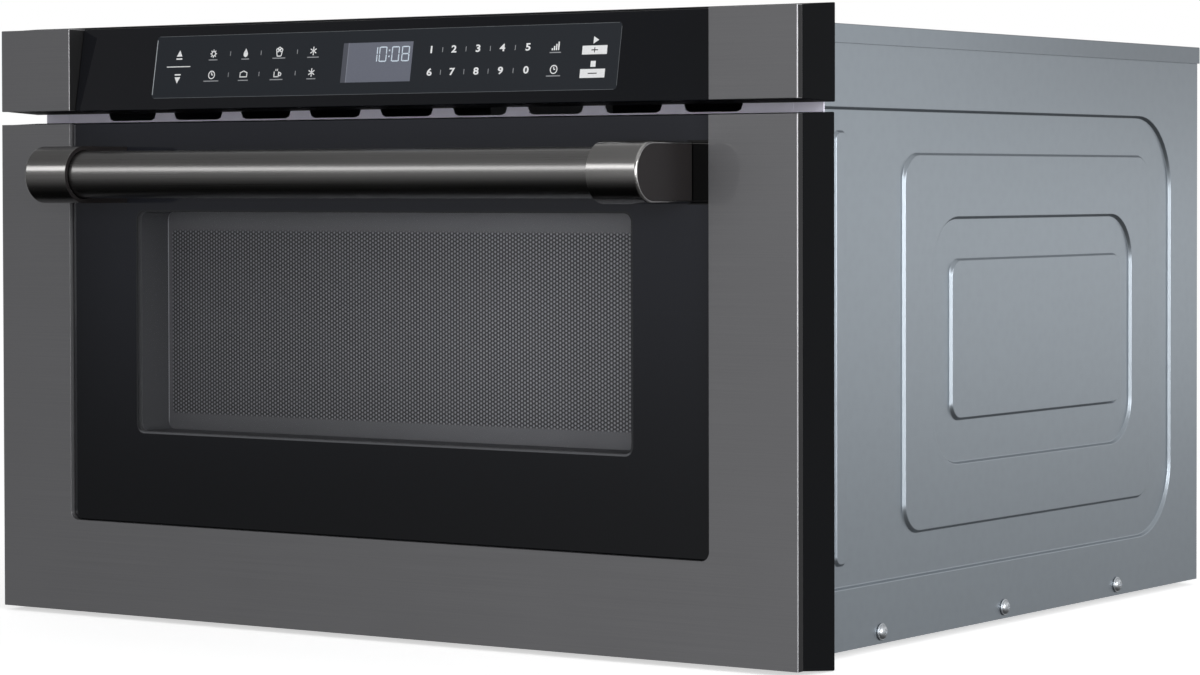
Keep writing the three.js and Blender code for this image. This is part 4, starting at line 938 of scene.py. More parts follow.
# %% Door frame
door_skin = add_block(
    "door_skin",
    (frame_low.x, skin_front, frame_low.z),
    (frame_high.x, skin_front + fold, frame_high.z),
)
round_edges(door_skin, along("Z", at_front), outer_round)
round_edges(door_skin, along("X", lambda a: at_front(a) and a.z < glass_low.z), 1.2 * mm, 4)
hollow = add_block(
    "hollow",
    (frame_low.x + skin, skin_front + skin, frame_low.z + skin),
    (frame_high.x - skin, skin_front + over, frame_high.z - skin),
)
combine(hollow, glass_cutter("keep", skin, skin_front - over, skin_front + 2 * over))
combine(door_skin, hollow)
lip = glass_cutter("lip", skin, skin_front + 0.3 * mm, glass_high.y, frame_high.z)
combine(door_skin, lip, "UNION")
combine(door_skin, glass_cutter("opening", 0, skin_front - over, skin_front + over))
tidy_faces(door_skin)
soften(door_skin, 0.45 * mm)
dress(door_skin, front_steel)
paint_shade_on_folds(door_skin, frame_high.x)
place(door_skin, "drawer", "dark_steel", "door_frame")
print("door frame faces:", len(door_skin.data.polygons))

# %% [markdown]
# ## The steel caps at the ends of the fascia
# Each cap is a small tray of the same steel, with the same rounded outer edge. Its inner side
# turns back beside the leaning glass, so this return is deeper at the top than at the bottom.

# %% End caps
cap_low, cap_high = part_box("end_cap_right")
control_low, control_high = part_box("control_glass")
pane_depth = 3.2 * mm
lean_back = control_high.y - control_low.y - pane_depth


def end_cap():
    x0, x1 = cap_low.x, cap_high.x
    cap = add_block("end_cap", (x0, skin_front, cap_low.z), (x1, skin_front + fold, cap_high.z))
    outer_edge = along("Z", lambda a: a.x > x1 - close_by and at_front(a))
    round_edges(cap, outer_edge, outer_round)
    inside = add_block(
        "inside",
        (x0 - over, skin_front + skin, cap_low.z + skin),
        (x1 - skin, skin_front + over, cap_high.z - skin),
    )
    combine(cap, inside)
    turn_in = add_block(
        "turn_in", (x0, skin_front, cap_low.z), (x0 + skin, cap_high.y, cap_high.z)
    )
    move_points(
        turn_in,
        lambda p: p.y > skin_front + fold and p.z < cap_low.z + close_by,
        (0, -lean_back, 0),
    )
    combine(cap, turn_in, "UNION")
    tidy_faces(cap)
    return soften(cap, 0.4 * mm)


cap_right = dress(end_cap(), front_steel)
paint_shade_on_folds(cap_right, cap_low.x, cap_high.x)
place_pair(cap_right, "end_cap_skin", "case", "dark_steel", "end_cap")
print("end cap width, mm:", round((cap_high.x - cap_low.x) * 1000, 1))

# %% [markdown]
# ## Glass panes
# Both panes are cut, ground and polished, so their edges carry a small bevel that catches a
# thin line of light. The control glass starts as a block whose upper points are moved back,
# which leans it without changing its thickness.

# %% Door glass
pane = add_block("door_pane", glass_low, glass_high)
lower_corners = along("Y", lambda a: abs(a.z - glass_low.z) < hair)
round_edges(pane, lower_corners, opening_corner - glass_clear, 10)
soften(pane, 0.5 * mm)
dress(pane, door_glass_look)
place(pane, "drawer", "black_glass", "door_glass")

# %% Control glass
pane_end = (control_high.x, control_low.y + pane_depth, control_high.z)
strip = add_block("control_pane", control_low, pane_end)
move_points(strip, lambda p: p.z > control_high.z - close_by, (0, lean_back, 0))
soften(strip, 0.5 * mm)
dress(strip, control_glass_look)
place(strip, "case", "black_glass", "control_glass")
tilt = math.atan2(lean_back, control_high.z - control_low.z)
print("the control glass leans back by", round(math.degrees(tilt), 2), "degrees")

# %% [markdown]
# ## Marks on the control glass
# Every mark is a thin print on the leaning glass. Digits come from a text object that is made
# a mesh. The other keys have a plain pictogram each, most of them with a dash under it. The
# helpers work in millimetres: they make a flat stroke, ring or disc, lean it with the glass
# and sink it, so that only a hundredth of a millimetre stands proud.

# %% Standing things on the leaning glass
print_depth = 0.12 * mm
line = 0.5  # how wide strokes and rings are
digit_height, digit_stretch, digit_weight = 4.3, 1.3, 0.16
digit_share = 0.72  # how much of a text's size its digits are tall


def glass_y(z):
    """Where the front of the leaning glass is at a height."""
    share = (z - control_low.z) / (control_high.z - control_low.z)
    return control_low.y + share * lean_back


def stand_on_glass(piece, x, z, proud=0.01):
    take(piece)
    bpy.ops.object.transform_apply(location=False, rotation=True, scale=True)
    piece.rotation_euler = (math.pi / 2 - tilt, 0, 0)
    piece.location = (x * mm, glass_y(z * mm) - proud * mm, z * mm)
    return settle(piece)


def oblong(x, z, length, height, angle=0.0, proud=0.01):
    clear_selection()
    bpy.ops.mesh.primitive_cube_add(size=1)
    piece = bpy.context.object
    piece.scale = (length * mm, height * mm, print_depth)
    piece.rotation_euler = (0, 0, angle)
    return stand_on_glass(piece, x, z, proud)


def bar(x0, x1, z0, z1, proud=0.01):
    """A flat printed bar."""
    return oblong((x0 + x1) / 2, (z0 + z1) / 2, x1 - x0, z1 - z0, 0.0, proud)


def stroke(x0, z0, x1, z1):
    """A printed line from one point to another."""
    length, angle = math.hypot(x1 - x0, z1 - z0), math.atan2(z1 - z0, x1 - x0)
    return oblong((x0 + x1) / 2, (z0 + z1) / 2, length, line, angle)


def ring(x, z, radius):
    clear_selection()
    radii = {"major_radius": radius * mm, "minor_radius": line / 2 * mm}
    bpy.ops.mesh.primitive_torus_add(**radii, major_segments=32, minor_segments=6)
    piece = bpy.context.object
    piece.scale = (1, 1, print_depth / (line * mm))
    return stand_on_glass(piece, x, z)


def disc(x, z, radius, sides=24, turned=0.0):
    """A printed disc; with three sides it is a triangle that points up, turned in degrees."""
    clear_selection()
    bpy.ops.mesh.primitive_cylinder_add(vertices=sides, radius=radius * mm, depth=print_depth)
    piece = bpy.context.object
    piece.rotation_euler = (0, 0, math.radians(turned))
    return stand_on_glass(piece, x, z)


def digit(text, x, z):
    clear_selection()
    bpy.ops.object.text_add()
    piece = bpy.context.object
    letters = piece.data
    letters.body = text
    letters.align_x = "CENTER"
    letters.align_y = "CENTER"
    letters.size = digit_height * mm / digit_share
    letters.extrude = print_depth / 2
    letters.offset = digit_weight * mm
    letters.resolution_u = 4
    piece.scale = (digit_stretch, 1, 1)
    bpy.ops.object.convert(target="MESH")
    return stand_on_glass(bpy.context.object, x, z)


# %% Pictograms, each drawn about 4 mm tall round its middle


def spokes(x, z, inner, outer, angles):
    """Strokes from one distance to another, in each of these directions."""
    return [
        stroke(x + inner * cos, z + inner * sin, x + outer * cos, z + outer * sin)
        for cos, sin in ((math.cos(a), math.sin(a)) for a in angles)
    ]


def eject_mark(x, z):
    return [disc(x, z + 0.5, 2.1, 3), bar(x - 1.9, x + 1.9, z - 2.1, z - 1.4)]


def insert_mark(x, z):
    return [disc(x, z - 0.5, 2.1, 3, 180), bar(x - 1.9, x + 1.9, z + 1.4, z + 2.1)]


def gear_mark(x, z):
    return [ring(x, z, 1.15)] + spokes(x, z, 1.3, 2.1, [k * math.pi / 4 for k in range(8)])


def drop_mark(x, z):
    return [disc(x, z - 0.7, 1.35), disc(x, z + 0.75, 1.5, 3)]


def popped_mark(x, z):
    heads = [ring(x - 1.1, z + 0.9, 0.85), ring(x + 1.1, z + 0.9, 0.85), ring(x, z + 1.5, 0.85)]
    return heads + [
        stroke(x - 1.7, z, x - 1.2, z - 2.1),
        stroke(x + 1.7, z, x + 1.2, z - 2.1),
        bar(x - 1.2, x + 1.2, z - 2.3, z - 1.8),
    ]


def frost_mark(x, z):
    return spokes(x, z, -2.1, 2.1, [math.pi / 2 + k * math.pi / 3 for k in range(3)])


def clock_mark(x, z):
    return [ring(x, z, 1.9), stroke(x, z, x, z + 1.3), stroke(x, z, x + 0.9, z)]


def block_mark(x, z):
    frame_lines = [
        bar(x - 2.4, x + 2.4, z - 1.6, z - 1.1),
        bar(x - 2.4, x - 1.9, z - 1.6, z + 0.8),
        bar(x + 1.9, x + 2.4, z - 1.6, z + 0.8),
    ]
    lids = [stroke(x - 2.4, z + 0.6, x, z + 1.6), stroke(x, z + 1.6, x + 2.4, z + 0.6)]
    return frame_lines + lids


def cup_mark(x, z):
    return [
        bar(x - 1.9, x - 1.4, z - 1.9, z + 0.9),
        bar(x + 0.9, x + 1.4, z - 1.9, z + 0.9),
        bar(x - 1.9, x + 1.4, z - 1.9, z - 1.4),
        ring(x + 1.9, z - 0.4, 0.75),
        bar(x - 0.9, x - 0.5, z + 1.2, z + 2.2),
        bar(x + 0.1, x + 0.5, z + 1.2, z + 2.2),
    ]


def level_mark(x, z):
    return [bar(x - 2.2 + 1.2 * k, x - 1.5 + 1.2 * k, z - 2, z - 1 + k) for k in range(4)]


def start_mark(x, z):
    return [disc(x, z, 2.0, 3, -90)]


def stop_mark(x, z):
    return [bar(x - 1.4, x + 1.4, z - 1.4, z + 1.4)]


# %% Digits and separators
key_columns = [39.0, 55.8, 73.6, 91.4, 109.9]
key_rows = {351.0: "12345", 337.5: "67890"}
thin = 0.22  # half a separator's width
white_marks = []
grey_marks = []
for row, digits in key_rows.items():
    for column, character in zip(key_columns, digits):
        white_marks.append(digit(character, column, row))
    for left, right in zip(key_columns, key_columns[1:]):
        middle = (left + right) / 2
        grey_marks.append(bar(middle - thin, middle + thin, row - 1.5, row + 1.5))
for row in (352.2, 339.1):
    for column in (-117.1, -92.5, -63.8):
        grey_marks.append(bar(column - thin, column + thin, row - 1.4, row + 1.4))
print("digit marks:", len(white_marks), "separators:", len(grey_marks))

# %% Keys with a pictogram
keys = [
    (eject_mark, -158.5, 351.9, 0),
    (insert_mark, -158.5, 337.6, 0),
    (gear_mark, -130.8, 352.4, 7),
    (drop_mark, -104.8, 352.4, 6),
    (popped_mark, -78.0, 352.4, 10),
    (frost_mark, -51.2, 352.4, 9),
    (clock_mark, -130.7, 339.2, 12),
    (block_mark, -104.9, 339.2, 8),
    (cup_mark, -78.4, 339.2, 10),
    (frost_mark, -51.1, 339.2, 7),
    (level_mark, 129.7, 351.3, 8),
    (clock_mark, 129.7, 337.6, 10),
    (start_mark, 157.5, 354.2, 0),
    (stop_mark, 157.3, 340.3, 0),
]
mark_scale = 1.25  # they stand about 5 mm tall on the glass
dash_foot, dash_top = 4.1, 3.5  # below a pictogram's middle
label_x, label_z = 8.7, 2.6  # half the size of the two white labels
box_proud = 0.03  # the dark marks lie on the labels
for draw, x, z, dash in keys:
    middle = Vector((x * mm, glass_y(z * mm), z * mm))
    larger = Matrix.Translation(middle) @ Matrix.Scale(mark_scale, 4) @ Matrix.Translation(-middle)
    marks = draw(x, z)
    for mark in marks:
        mark.data.transform(larger)
    white_marks += marks
    if dash:
        grey_marks.append(bar(x - dash / 2, x + dash / 2, z - dash_foot, z - dash_top))
white_marks.append(bar(-168.1, -148.8, 344.55, 345.1))
for x, z in ((157.5, 348.4), (157.3, 334.8)):
    white_marks.append(bar(x - label_x, x + label_x, z - label_z, z + label_z))
box_marks = [
    bar(155.2, 159.8, 348.1, 348.7, box_proud),
    bar(157.2, 157.8, 346.9, 349.9, box_proud),
    bar(154.2, 160.4, 334.5, 335.1, box_proud),
]
print("marks:", len(white_marks) + len(grey_marks) + len(box_marks))

# %% Join the prints


def print_marks(name, marks, look, slot="black_glass"):
    """Joins marks into one piece of one ink."""
    place(dress(joined(name, marks), look), "case", slot)


print_marks("key_marks_white", white_marks, white_ink)
print_marks("key_marks_grey", grey_marks, dim_ink)
print_marks("key_marks_dark", box_marks, dark_ink)

# %% Outline of the touch zone
left, right, bottom, top = touch_zone
inset = 2  # the lines stop short of the zone's round corners
left_width, line_width = 0.6, 0.25
upright = (bottom + inset, top - inset)
print_marks("touch_zone_left_line", [bar(left, left + left_width, *upright)], line_ink)
faint_lines = [
    bar(right - line_width, right, *upright),
    bar(left + inset, right - inset, bottom, bottom + line_width),
    bar(left + inset, right - inset, top - line_width, top),
]
print_marks("touch_zone_line", faint_lines, faint_ink)

# %% [markdown]
# ## The display
# The display shows as a grey-blue panel in the black glass. It is made as a flat print, with
# pale seven-segment digits at its upper right. Each segment is a thin bar, and a table says
# which of the seven bars each digit lights.

# %% Display panel and digits
display_window = bar(-28.0, 25.0, 332.4, 356.7)
print_marks("display_window", [display_window], display_look, "display_panel")
segments = {"0": "abcdef", "1": "bc", "8": "abcdefg"}
segment = 0.75
middle_gap, end_gap = 0.2, 0.3  # how far upright bars stop short at the middle and the ends


def lit_digit(character, left, foot, width=5.9, height=9.3):
    """The bars that a digit lights."""
    right, top, middle = left + width, foot + height, foot + height / 2
    across = (left + segment, right - segment)
    upper, lower = (middle + middle_gap, top - end_gap), (foot + end_gap, middle - middle_gap)
    places = {
        "a": (*across, top - segment, top),
        "g": (*across, foot + (height - segment) / 2, foot + (height + segment) / 2),
        "d": (*across, foot, foot + segment),
        "b": (right - segment, right, *upper),
        "c": (right - segment, right, *lower),
        "f": (left, left + segment, *upper),
        "e": (left, left + segment, *lower),
    }
    return [bar(*places[key]) for key in segments[character]]


clock_marks = []
for character, left in (("1", -7.2), ("0", -0.2), ("0", 9.3), ("8", 16.9)):
    clock_marks += lit_digit(character, left, 344.6)
for height in (347.4, 351.0):
    clock_marks.append(bar(7.05, 8.0, height, height + 0.95))
clock = dress(joined("display_digits", clock_marks), digit_ink)
clock.data.transform(Matrix.Translation((0, -0.02 * mm, 0)))
place(clock, "case", "display_panel")
print("display digits set")

# %% [markdown]
# ## The handle
# A round bar sits between two brackets. A bracket is a stadium: a half round in front and two
# flat sides that run back to the door. It starts as a cylinder whose rear half is pressed flat
# onto the plane of the glass; a socket is bored for the bar, the outer rim is bevelled, and a
# dark cap fills the end.

# %% Handle bar
bar_low, bar_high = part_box("handle_bar")
bracket_low, bracket_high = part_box("handle_bracket_right")
bar_y = (bar_low.y + bar_high.y) / 2
bar_z = (bar_low.z + bar_high.z) / 2
bar_radius = (bar_high.z - bar_low.z) / 2


def handle_rod(name, x0, x1, radius):
    """A rod along X round the bar's own middle line."""
    return add_rod(name, "X", radius, x0, x1, (bar_y, bar_z), 96)


handle = handle_rod("handle_round_bar", bar_low.x, bar_high.x, bar_radius)
soften(handle, 0.8 * mm)
dress(handle, bar_steel)
place(handle, "drawer", "dark_steel", "handle_bar")
print("bar diameter, mm:", round(bar_radius * 2000, 1))

# %% Handle brackets


def stadium(name, x0, x1, radius, back):
    """A rod whose rear half is pressed flat onto a plane."""
    block = handle_rod(name, x0, x1, radius)
    scale_points(block, lambda p: p.y > bar_y + 0.3 * mm, (1, 0, 1), (0, back, 0))
    return block


def outer_rim(a, b):
    in_front = min(a.y, b.y) < bracket_high.y - hair
    return in_front and min(a.x, b.x) > bracket_high.x - hair


bracket_radius = (bracket_high.z - bracket_low.z) / 2
cap_radius = bracket_radius - 1.7 * mm
bracket = stadium("bracket", bracket_low.x, bracket_high.x, bracket_radius, bracket_high.y)
tidy_faces(bracket)
round_edges(bracket, outer_rim, 1.5 * mm, 4)
socket_end = bar_high.x + 0.3 * mm
combine(bracket, handle_rod("socket", bracket_low.x - over, socket_end, bar_radius + 0.55 * mm))
pocket_front, pocket_back = bracket_high.x - 0.6 * mm, bracket_high.y + 1 * mm
combine(bracket, stadium("pocket", pocket_front, bracket_high.x + over, cap_radius, pocket_back))
tidy_faces(bracket)
soften(bracket, 0.3 * mm, 2)
dress(bracket, bracket_steel, bracket_end)
# Painted shade: the inner end faces take the black of the end cap, which darkens their mirror
# image in the glass.
second_look(bracket, lambda face: face.normal.x < -0.9)
brackets = place_pair(bracket, "handle_bracket_form", "drawer", "dark_steel", "handle_bracket")

# %% Bracket end caps
end_plate = stadium(
    "bracket_cap_right",
    bracket_high.x - 0.55 * mm,
    bracket_high.x - 0.12 * mm,
    cap_radius - 0.1 * mm,
    bracket_high.y - 0.3 * mm,
)
tidy_faces(end_plate)
soften(end_plate, 0.1 * mm, 1)
dress(end_plate, bracket_end)
end_plates = place_pair(end_plate, "bracket_cap", "drawer", "black_moulding")
print("brackets made")

# %% [markdown]
# ## Pressed side panels
# The side panels are pressed in steps, down and up again, to keep a thin sheet from drumming.
# A solid slab is cut and built up with tapered pads whose corners have the press tool's radii.
# Then only the outer skin is kept, its bends are rounded, and it gets its wall, so that the
# sheet has one thickness everywhere.

# %% Pads of the press tool
press_depth = 2 * mm
press_slope = 1.1 * mm
overlap = 0.5 * mm


def press_pad(axis, limits, corner, wide, narrow):
    """A tapered block; limits are its wide end's low and high on each of the other axes."""
    a0, a1, b0, b1 = limits
    inset = press_slope * abs(wide - narrow) / press_depth
    low, high, middle = [a0, b0], [a1, b1], [(a0 + a1) / 2, (b0 + b1) / 2]
    factors = [1 - 2 * inset / (a1 - a0), 1 - 2 * inset / (b1 - b0)]
    at = "XYZ".index(axis)
    low.insert(at, min(wide, narrow))
    high.insert(at, max(wide, narrow))
    middle.insert(at, narrow)
    factors.insert(at, 1)
    pad = add_block("pad", low, high)
    round_edges(pad, along(axis), corner, 14)
    scale_points(pad, lambda p: abs(p[at] - narrow) < exact, factors, middle)
    return pad


def press(sheet, axis, limits, corner, outside, raised):
    """Sinks a field below the outside of a sheet, or raises one up to it again."""
    a0, a1, b0, b1 = limits
    grow = overlap * press_slope / press_depth
    wider = (a0 - grow, a1 + grow, b0 - grow, b1 + grow)
    floor = outside - press_depth
    if raised:
        combine(sheet, press_pad(axis, wider, corner, floor - overlap, outside), "UNION")
    else:
        combine(sheet, press_pad(axis, wider, corner, outside + overlap, floor))


# %% Steps from the outside in
# How far each step lies inside the last at its front, rear, foot and top, and its corners
steps = [
    (-60, 40.6, 35.8, 48.2, 48),
    (184.3, 31.1, 26.2, 26, 17),
    (35, 27.7, 38, 38.5, 30),
    (22.3, 15.3, 26.7, 25.5, 10),
]
panel_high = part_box("side_panel_right")[1]
panel_x = 277 * mm
panel_front = -261.2 * mm
side_sheet = add_block(
    "side_sheet", (panel_x - 14 * mm, panel_front, 0), (panel_x, panel_high.y, panel_high.z)
)
y0, y1, z0, z1 = -262.5 * mm, 262.5 * mm, 0, 363.2 * mm
for index, (front, rear, low, high, corner) in enumerate(steps):
    y0, y1, z0, z1 = y0 + front * mm, y1 - rear * mm, z0 + low * mm, z1 - high * mm
    press(side_sheet, "X", (y0, y1, z0, z1), corner * mm, panel_x, raised=index % 2 == 1)
rib_limits = (-218.1 * mm, -203.4 * mm, 48.9 * mm, 302 * mm)
rib_foot = panel_x - press_depth
rib = press_pad("X", rib_limits, 5 * mm, rib_foot - 1 * mm, rib_foot + 1.8 * mm)
combine(side_sheet, rib, "UNION")
print("pressed form faces:", len(side_sheet.data.polygons))

# %% Keep the skin, round its bends, give it a wall


def keep_skin(sheet, unwanted):
    """Leaves a solid's outer skin, with rounded bends and a wall."""
    tidy_faces(sheet)
    remove_faces(sheet, unwanted)
    soften(sheet, 0.5 * mm, 3, 18)
    give_wall(sheet, 1 * mm)
    return smooth(sheet, 40)


keep_skin(side_sheet, lambda middle, normal: normal.x < 0.2)
dress(side_sheet, side_zinc)
place_pair(side_sheet, "side_sheet", "case", "case_steel", "side_panel")

# %% [markdown]
# ## Front flanges
# In front, each side panel is folded outwards into a flange that bears on the cabinet. Its free
# edge is hemmed, folded back on itself, which gives the rounded bright edge seen in the slit.
# The flange, its hem, the bend and the web behind it are joined, and three screw holes are cut.

# %% Front flanges
wing_x0, wing_x1 = 276 * mm, panel_high.x
wing_y0, wing_y1 = -262.5 * mm, -261.5 * mm
bend_y1 = -260.2 * mm
wing_low, wing_top = 2 * mm, panel_high.z
screw_x, screw_heights = 286.2 * mm, (42 * mm, 181.6 * mm, 321.2 * mm)
flange = add_block("flange", (wing_x0, wing_y0, wing_low), (wing_x1, wing_y1, wing_top))
hem = add_block(
    "hem", (wing_x1 - 2.4 * mm, wing_y0, wing_low), (wing_x1, wing_y1 + 1 * mm, wing_top)
)
round_edges(hem, along("Z", lambda a: a.x > wing_x1 - close_by), 0.98 * mm)
bend = add_block("bend", (wing_x0, wing_y0, wing_low), (panel_x, bend_y1, wing_top))
web = add_block("web", (273 * mm, panel_front, 25 * mm), (panel_x, bend_y1, wing_top - 1 * mm))
for part in (hem, bend, web):
    combine(flange, part, "UNION")
for height in screw_heights:
    bore(flange, "Y", 2.6 * mm, wing_y0, wing_y1, (screw_x, height))
tidy_faces(flange)
soften(flange, 0.35 * mm, 2)
# Painted light: the flange takes the pale sheet.
dress(flange, painted_light_sheet)
place_pair(flange, "front_flange", "case", "case_steel")
print("flanges made")

# %% [markdown]
# ## Top cover
# The cover is pressed like the sides and folded down over them by 11 mm. Its folds have a
# radius of about half a millimetre, which shows as a thin light line along the top edge.

# %% Top cover
cover_low, cover_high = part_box("top_cover")
cover = add_block("top_sheet", cover_low, cover_high)
sunk_field = (-231 * mm, 231 * mm, -209.2 * mm, 192.5 * mm)
raised_field = (-193 * mm, 193 * mm, -173.2 * mm, 156.5 * mm)
press(cover, "Z", sunk_field, 40 * mm, cover_high.z, raised=False)
press(cover, "Z", raised_field, 22 * mm, cover_high.z, raised=True)


def under_or_front(middle, normal):
    return normal.z < -0.9 or (normal.y < -0.9 and middle.y < cover_low.y + close_by)


keep_skin(cover, under_or_front)
dress(cover, lid_sheet)
place(cover, "case", "case_steel", "top_cover")
print("cover faces:", len(cover.data.polygons))

# %% [markdown]
# ## Side screws
# Six dome-headed screws with a pressed washer hold the panels to the base pan. One is made,
# with a cross recess, and each of the six is a copy of it with its own mesh.

# %% Side screws
screw_boxes = {
    node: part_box(node) for node in sorted(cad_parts) if node.startswith("side_screw")
}
first_low, first_high = screw_boxes["side_screw_front_right"]
seat_x = first_high.x - 3.3 * mm
centre = ((first_low.y + first_high.y) / 2, (first_low.z + first_high.z) / 2)
washer = add_rod("washer", "X", 5.1 * mm, seat_x, seat_x + 0.75 * mm, centre, 40)
round_edges(washer, lambda a, b: min(a.x, b.x) > seat_x + 0.5 * mm, 0.4 * mm, 3)
clear_selection()
dome_middle = (seat_x + 0.6 * mm, *centre)
sphere = {"segments": 40, "ring_count": 20, "radius": 4.3 * mm}
bpy.ops.mesh.primitive_uv_sphere_add(
    **sphere, location=dome_middle, rotation=(0, math.pi / 2, 0)
)
dome = name_piece("dome")
dome_flatness = 0.57
scale_points(dome, lambda p: True, (dome_flatness, 1, 1), dome_middle)
combine(dome, add_block("under", (seat_x - over, -1, -1), (seat_x + 0.3 * mm, 1, 1)))
for half_y, half_z in ((1.9, 0.4), (0.4, 1.9)):
    slot_cut = add_block(
        "slot_cut",
        (first_high.x - 1.0 * mm, centre[0] - half_y * mm, centre[1] - half_z * mm),
        (first_high.x + over, centre[0] + half_y * mm, centre[1] + half_z * mm),
    )
    combine(dome, slot_cut)
combine(dome, washer, "UNION")
tidy_faces(dome)
soften(dome, 0.12 * mm, 2)
dress(dome, screw_zinc)
for node, (low, high) in screw_boxes.items():
    screw = copied(dome, "dome_" + node)
    shift = (low.y + high.y) / 2 - centre[0]
    screw.data.transform(Matrix.Translation((0, shift, 0)))
    if high.x < 0:
        turned = mirrored(screw, screw.name + "_turned")
        bpy.data.objects.remove(screw)
        screw = turned
    place(screw, "case", "bright_zinc", node)
bpy.data.objects.remove(dome)
print("screws:", len(screw_boxes))

# %% [markdown]
# ## Window liner
# The lining tube between the glass and the screen has a thin flange behind the glass, under the
# print's edge, so that no dark slit shows beside the tube when the window is seen aslant. The
# flange's front faces take a paler grey than the tube: painted light where little light reaches
# them.

# %% Window liner
liner = fine_copy("window_liner", 0.2 * mm)
liner_front = liner_low.y
move_points(liner, lambda p: p.z < window[2] + 5.5 * mm, (0, 0, print_foot - window[2]))
flange_sides = 5 * mm
flange_front = liner_front - 0.25 * mm
rim_plate = add_block(
    "rim_plate",
    (window[0] - flange_sides, flange_front, print_foot - flange_sides),
    (window[1] + flange_sides, liner_front + 0.03 * mm, window[3] + flange_sides),
)
round_edges(rim_plate, along("Y"), 10 * mm)
middle_hole = add_block(
    "middle_hole",
    (window[0], flange_front - over, print_foot),
    (window[1], liner_front + over, window[3]),
)
round_edges(middle_hole, along("Y"), 5 * mm)
combine(rim_plate, middle_hole)
combine(liner, rim_plate, "UNION")
smooth(liner)
dress(liner, liner_plastic, painted_light_flange_plastic)
# Painted light: the flange's front faces take the paler grey.
flange_end = liner_front + 0.1 * mm
second_look(liner, lambda face: face.normal.y < -0.9 and face.center.y < flange_end)
place(liner, "drawer", "grey_moulding", "window_liner")

# %% [markdown]
# ## Softened copies
# Mouldings, folded brackets and machined parts have the measured shape already, and only their
# razor edges look wrong. Each gets a merged copy with its edges rounded by what its making
# leaves: about half a millimetre on a moulding, less on folded sheet.

# %% Softened copies
softened = {
    "door_body": ("drawer", 0.7, black_plastic, "black_moulding"),
    "fascia_body": ("case", 0.7, black_plastic, "black_moulding"),
    "door_inner_panel": ("drawer", 0.35, inner_sheet, "case_steel"),
    "choke_cover": ("drawer", 0.5, choke_plastic, "grey_moulding"),
    # The front plate takes the pale sheet: painted light in the shaded slit.
    "front_plate": ("case", 0.2, painted_light_sheet, "case_steel"),
    "rail_left": ("drawer", 0.4, inner_sheet, "case_steel"),
    "rail_right": ("drawer", 0.4, inner_sheet, "case_steel"),
    "cross_bar": ("drawer", 0.4, inner_sheet, "case_steel"),
    "latch_hook_left": ("drawer", 0.5, grey_plastic, "grey_moulding"),
    "latch_hook_right": ("drawer", 0.5, grey_plastic, "grey_moulding"),
    "latch_switch_left": ("case", 0.6, white_plastic, "white_moulding"),
    "latch_switch_right": ("case", 0.6, white_plastic, "white_moulding"),
    "drive_gearbox": ("case", 0.8, grey_plastic, "grey_moulding"),
    "fan_housing": ("case", 0.6, black_plastic, "black_moulding"),
    "fan_motor": ("case", 0.4, motor_look, "copper_winding"),
    "power_transformer": ("case", 0.5, transformer_look, "copper_winding"),
    "power_capacitor": ("case", 0.6, bright_zinc, "bright_zinc"),
    "oven_lamp": ("case", 0.6, white_plastic, "white_moulding"),
    "cord_gland": ("case", 0.4, black_plastic, "black_moulding"),
    "stirrer_motor": ("case", 0.4, bright_zinc, "bright_zinc"),
    "drive_rack": ("drawer", 0.2, natural_nylon, "nylon"),
    "drive_pinion": ("pinion", 0.2, natural_nylon, "nylon"),
    "stirrer_cover": ("case", 0.25, mica_look, "mica_sheet"),
}


def place_copies(table):
    for node, (body, width, look, slot) in table.items():
        place(dress(fine_copy(node, width * mm), look), body, slot, node)


place_copies(softened)
print("softened copies:", len(softened))

# %% [markdown]
# ## The box behind the door
# The food compartment is a drawn steel box. A block is opened at the top, its rear corners and
# its bottom edges are rounded as a drawing press leaves them, and it gets a thin wall. A rolled
# rim runs round the top, and the front wall is cut out behind the door's window.

# %% Drawer box
box_low, box_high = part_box("drawer_box")
rim_width = 3 * mm
tub = add_block(
    "drawer_tub",
    (box_low.x + rim_width, box_low.y, box_low.z),
    (box_high.x - rim_width, box_high.y - rim_width, box_high.z),
)
rear_corners = along("Z", lambda a: a.y > 0)
round_edges(tub, rear_corners, 9 * mm, 8)
remove_faces(tub, lambda middle, normal: normal.z > 0.9)
soften(tub, 3.5 * mm, 5, 50)
give_wall(tub, 1.2 * mm)
screen_edge = 5 * mm
screen_opening = add_block(
    "screen_opening",
    (window[0] + screen_edge, box_low.y - over, window[2] + screen_edge),
    (window[1] - screen_edge, box_low.y + over, window[3] - screen_edge),
)
combine(tub, screen_opening)
smooth(tub, 40)
dress(tub, cavity_steel)
place(tub, "drawer", "cavity_steel", "drawer_box")

# %% Rolled rim
rim = add_block("tub_rim", (box_low.x, box_low.y, box_high.z - 4 * mm), box_high)
round_edges(rim, rear_corners, 12 * mm, 8)
inner_rim = add_block(
    "inner_rim",
    (box_low.x + rim_width, box_low.y - over, box_high.z - over),
    (box_high.x - rim_width, box_high.y - rim_width, box_high.z + over),
)
round_edges(inner_rim, rear_corners, 9 * mm, 8)
combine(rim, inner_rim)
tidy_faces(rim)
soften(rim, 1.2 * mm, 4)
dress(rim, cavity_steel)
place(rim, "drawer", "cavity_steel")

# %% Ceramic floor plate
plate_low, plate_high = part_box("floor_plate")
plate = add_block("ceramic_plate", plate_low, plate_high)
round_edges(plate, along("Z"), 12 * mm, 10)
pick_faces(plate, lambda middle, normal: normal.z > 0.9)
bpy.ops.mesh.inset(thickness=7 * mm)
bpy.ops.transform.translate(value=(0, 0, -1 * mm))
done()
soften(plate, 1.0 * mm, 4, 12)
dress(plate, ceramic_look)
place(plate, "drawer", "ceramic_plate", "floor_plate")
print("box, rim and plate made")

